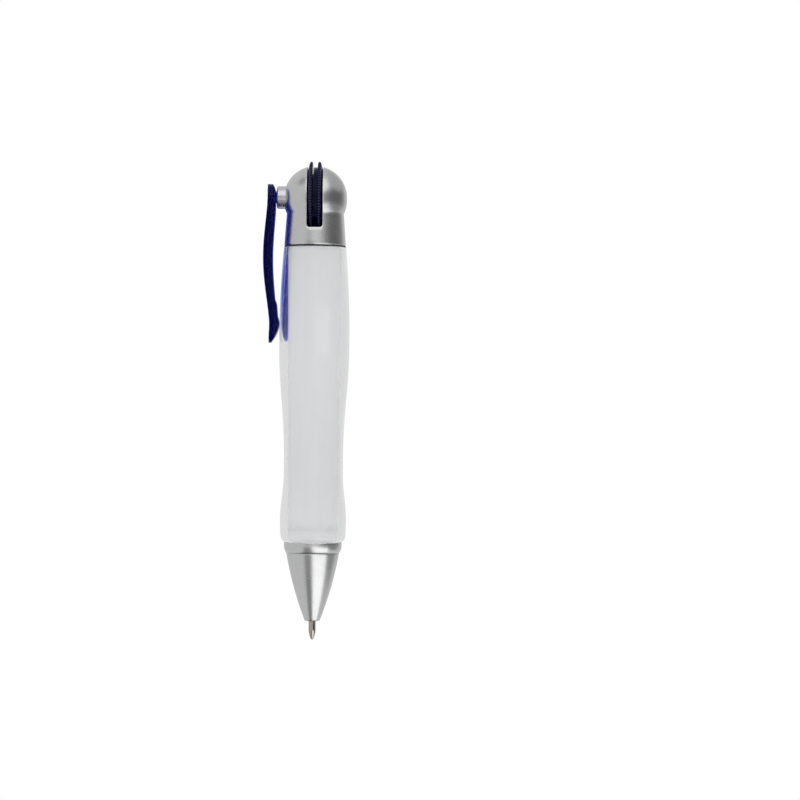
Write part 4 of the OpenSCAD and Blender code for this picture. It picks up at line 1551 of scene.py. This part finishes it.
# %% Thread
SPIGOT_R, THREAD_PITCH, THREAD_TURNS, THREAD_STEPS = 4.9, 1.0, 8, 64
THREAD_UP, THREAD_SINK = 1.2, 0.1
ROOT_HALF, CREST_HALF = 0.4, 0.08
z_thread = z_ring + THREAD_UP
thread_inner_r = THREAD_ROOT_R - THREAD_SINK
thread_climb = THREAD_PITCH / THREAD_STEPS

thread = bmesh.new()
draw_outline(thread, [
    (thread_inner_r, z_thread - ROOT_HALF, 0), (SPIGOT_R, z_thread - CREST_HALF, 0),
    (SPIGOT_R, z_thread + CREST_HALF, 0), (thread_inner_r, z_thread + ROOT_HALF, 0),
])
wind(thread, 2 * math.pi * THREAD_TURNS, THREAD_TURNS * THREAD_STEPS, thread_climb)
join(nose, thread)
make_piece("silver_nose", nose, "nose", "silver_plastic", silver, "nose_cone")

# %% [markdown]
# ## Collar
#
# A low silver collar sits between the nose and the end ring. It widens quickly from the seam and
# then rises nearly straight, which a plain cone would not do, so its side is a cubic curve. The
# small bevels at its foot and on the cone make the dark line of the seam.

# %% Collar
COLLAR_FOOT_R, COLLAR_TOP_R = 8.28, 8.98
COLLAR_STEPS = 12
COLLAR_GAP, COLLAR_ROUND = 0.02, 0.3
collar_bore_r = SPIGOT_R + COLLAR_GAP
z_collar_top = high("nose_collar")

collar_shares = [step / COLLAR_STEPS for step in range(1, COLLAR_STEPS)]
collar_side = [
    (mix(COLLAR_TOP_R, COLLAR_FOOT_R, (1 - t) ** 3), mix(z_collar, z_collar_top, t), 0)
    for t in collar_shares
]
collar = turned(
    [(collar_bore_r, z_collar, 0), (COLLAR_FOOT_R, z_collar, SEAM_BEVEL)] + collar_side
    + [(COLLAR_TOP_R, z_collar_top, COLLAR_ROUND), (collar_bore_r, z_collar_top, 0)]
)
make_piece("silver_collar", collar, "nose", "silver_plastic", silver, "nose_collar")

# %% [markdown]
# ## Refill tube
#
# The refill is a brass tube, drawn in to a neck that takes the point. It is hidden until the nose
# comes off. Its steps could be separate cylinders, but drawn brass is one wall, so it is one turned
# outline.

# %% Refill tube
REFILL_R, TUBE_BORE_R, NECK_R = 2.95, 2.5, 1.75
REFILL_STEPS = 64
POINT_R, POINT_FIT = 1.1, 0.02
Z_DRAWN, DRAWN_CONE, DRAWN_ROUND = 17.6, 0.45, 0.15
z_tube = (low("refill_tube"), high("refill_tube"))
z_ink = low("ink_column")
z_cone_top = Z_DRAWN + DRAWN_CONE
point_hole_r = POINT_R + POINT_FIT

tube = turned([
    (point_hole_r, z_tube[0], 0), (NECK_R, z_tube[0], SOFT), (NECK_R, Z_DRAWN, DRAWN_ROUND),
    (REFILL_R - DRAWN_CONE, Z_DRAWN, FINE), (REFILL_R, z_cone_top, SOFT),
    (REFILL_R, z_tube[1], FINE), (TUBE_BORE_R, z_tube[1], FINE), (TUBE_BORE_R, z_ink, 0),
    (point_hole_r, z_cone_top, 0),
], steps=REFILL_STEPS)
make_piece("brass_tube", tube, "refill", "brass", brass, "refill_tube")

# %% [markdown]
# ## Writing point
#
# The point is turned from nickel silver and tapers in a curve to a thin rim that holds the ball. Its
# channel lets the ink down to the ball. A straight cone would make the rim too blunt.

# %% Writing point
RIM_R, RIM_ROUND, SHOULDER_ROUND = 0.55, 0.03, 0.05
CHANNEL_R, SEAT_R, SEAT_TOP = 0.3, 0.52, 0.94
BALL_MIDDLE, POINT_TAPER_TOP = 0.5, 2.9
TAPER_EASE, TAPER_STEPS = 1.6, 10
z_point_top = high("refill_point")

taper_shares = [step / TAPER_STEPS for step in range(1, TAPER_STEPS)]
taper = [
    (mix(POINT_R, RIM_R, t**TAPER_EASE), mix(POINT_TAPER_TOP, BALL_MIDDLE, t), 0)
    for t in taper_shares
]
point = turned(
    [(CHANNEL_R, z_point_top, 0), (POINT_R, z_point_top, FINE),
     (POINT_R, POINT_TAPER_TOP, SHOULDER_ROUND)]
    + taper
    + [(RIM_R, BALL_MIDDLE, RIM_ROUND), (SEAT_R, BALL_MIDDLE, 0), (CHANNEL_R, SEAT_TOP, 0)],
    steps=REFILL_STEPS,
)
make_piece("turned_point", point, "refill", "point_metal", point_metal, "refill_point")

# %% [markdown]
# ## Return spring
#
# The steel spring round the refill's neck pushes the point back in. A curve with a round bevel could
# be wound as a helix. Here a circle is spun with a climb on every step, which gives a mesh at once,
# and its two ends are filled.

# %% Spring
WIRE_R, WIRE_SIDES, COIL_R, COILS, COIL_STEPS = 0.2, 10, 2.1, 8, 36
spring_steps = COILS * COIL_STEPS
z_spring = (low("return_spring") + WIRE_R, high("return_spring") - WIRE_R)
spring_climb = (z_spring[1] - z_spring[0]) / spring_steps
upright = Matrix.Rotation(math.radians(90), 3, "X")

spring = bmesh.new()
bmesh.ops.create_circle(spring, segments=WIRE_SIDES, radius=WIRE_R)
bmesh.ops.rotate(spring, cent=(0, 0, 0), matrix=upright, verts=spring.verts[:])
bmesh.ops.translate(spring, vec=(COIL_R, 0, z_spring[0]), verts=spring.verts[:])
wind(spring, 2 * math.pi * COILS, spring_steps, spring_climb)
make_piece("steel_spring", spring, "nose", "steel", steel, "return_spring")

# %% [markdown]
# ## Pieces that stay as drawn
#
# Axle, plunger, guide, front bush, plug, ink and writing ball are simple pieces, hidden or tiny.
# They could be made again like the rest, but their CAD meshes are right as they are and only get a
# finish.

# %% Carried-over pieces
AS_DRAWN = {
    "wheel_axle": steel, "plunger": white, "plunger_guide": white, "front_bush": white,
    "refill_plug": white, "ink_column": ink, "writing_ball": steel,
}
for node, material in AS_DRAWN.items():
    for holder in frame["nodes"][node].material_slots:
        holder.material = material
print("as drawn:", sorted(AS_DRAWN))
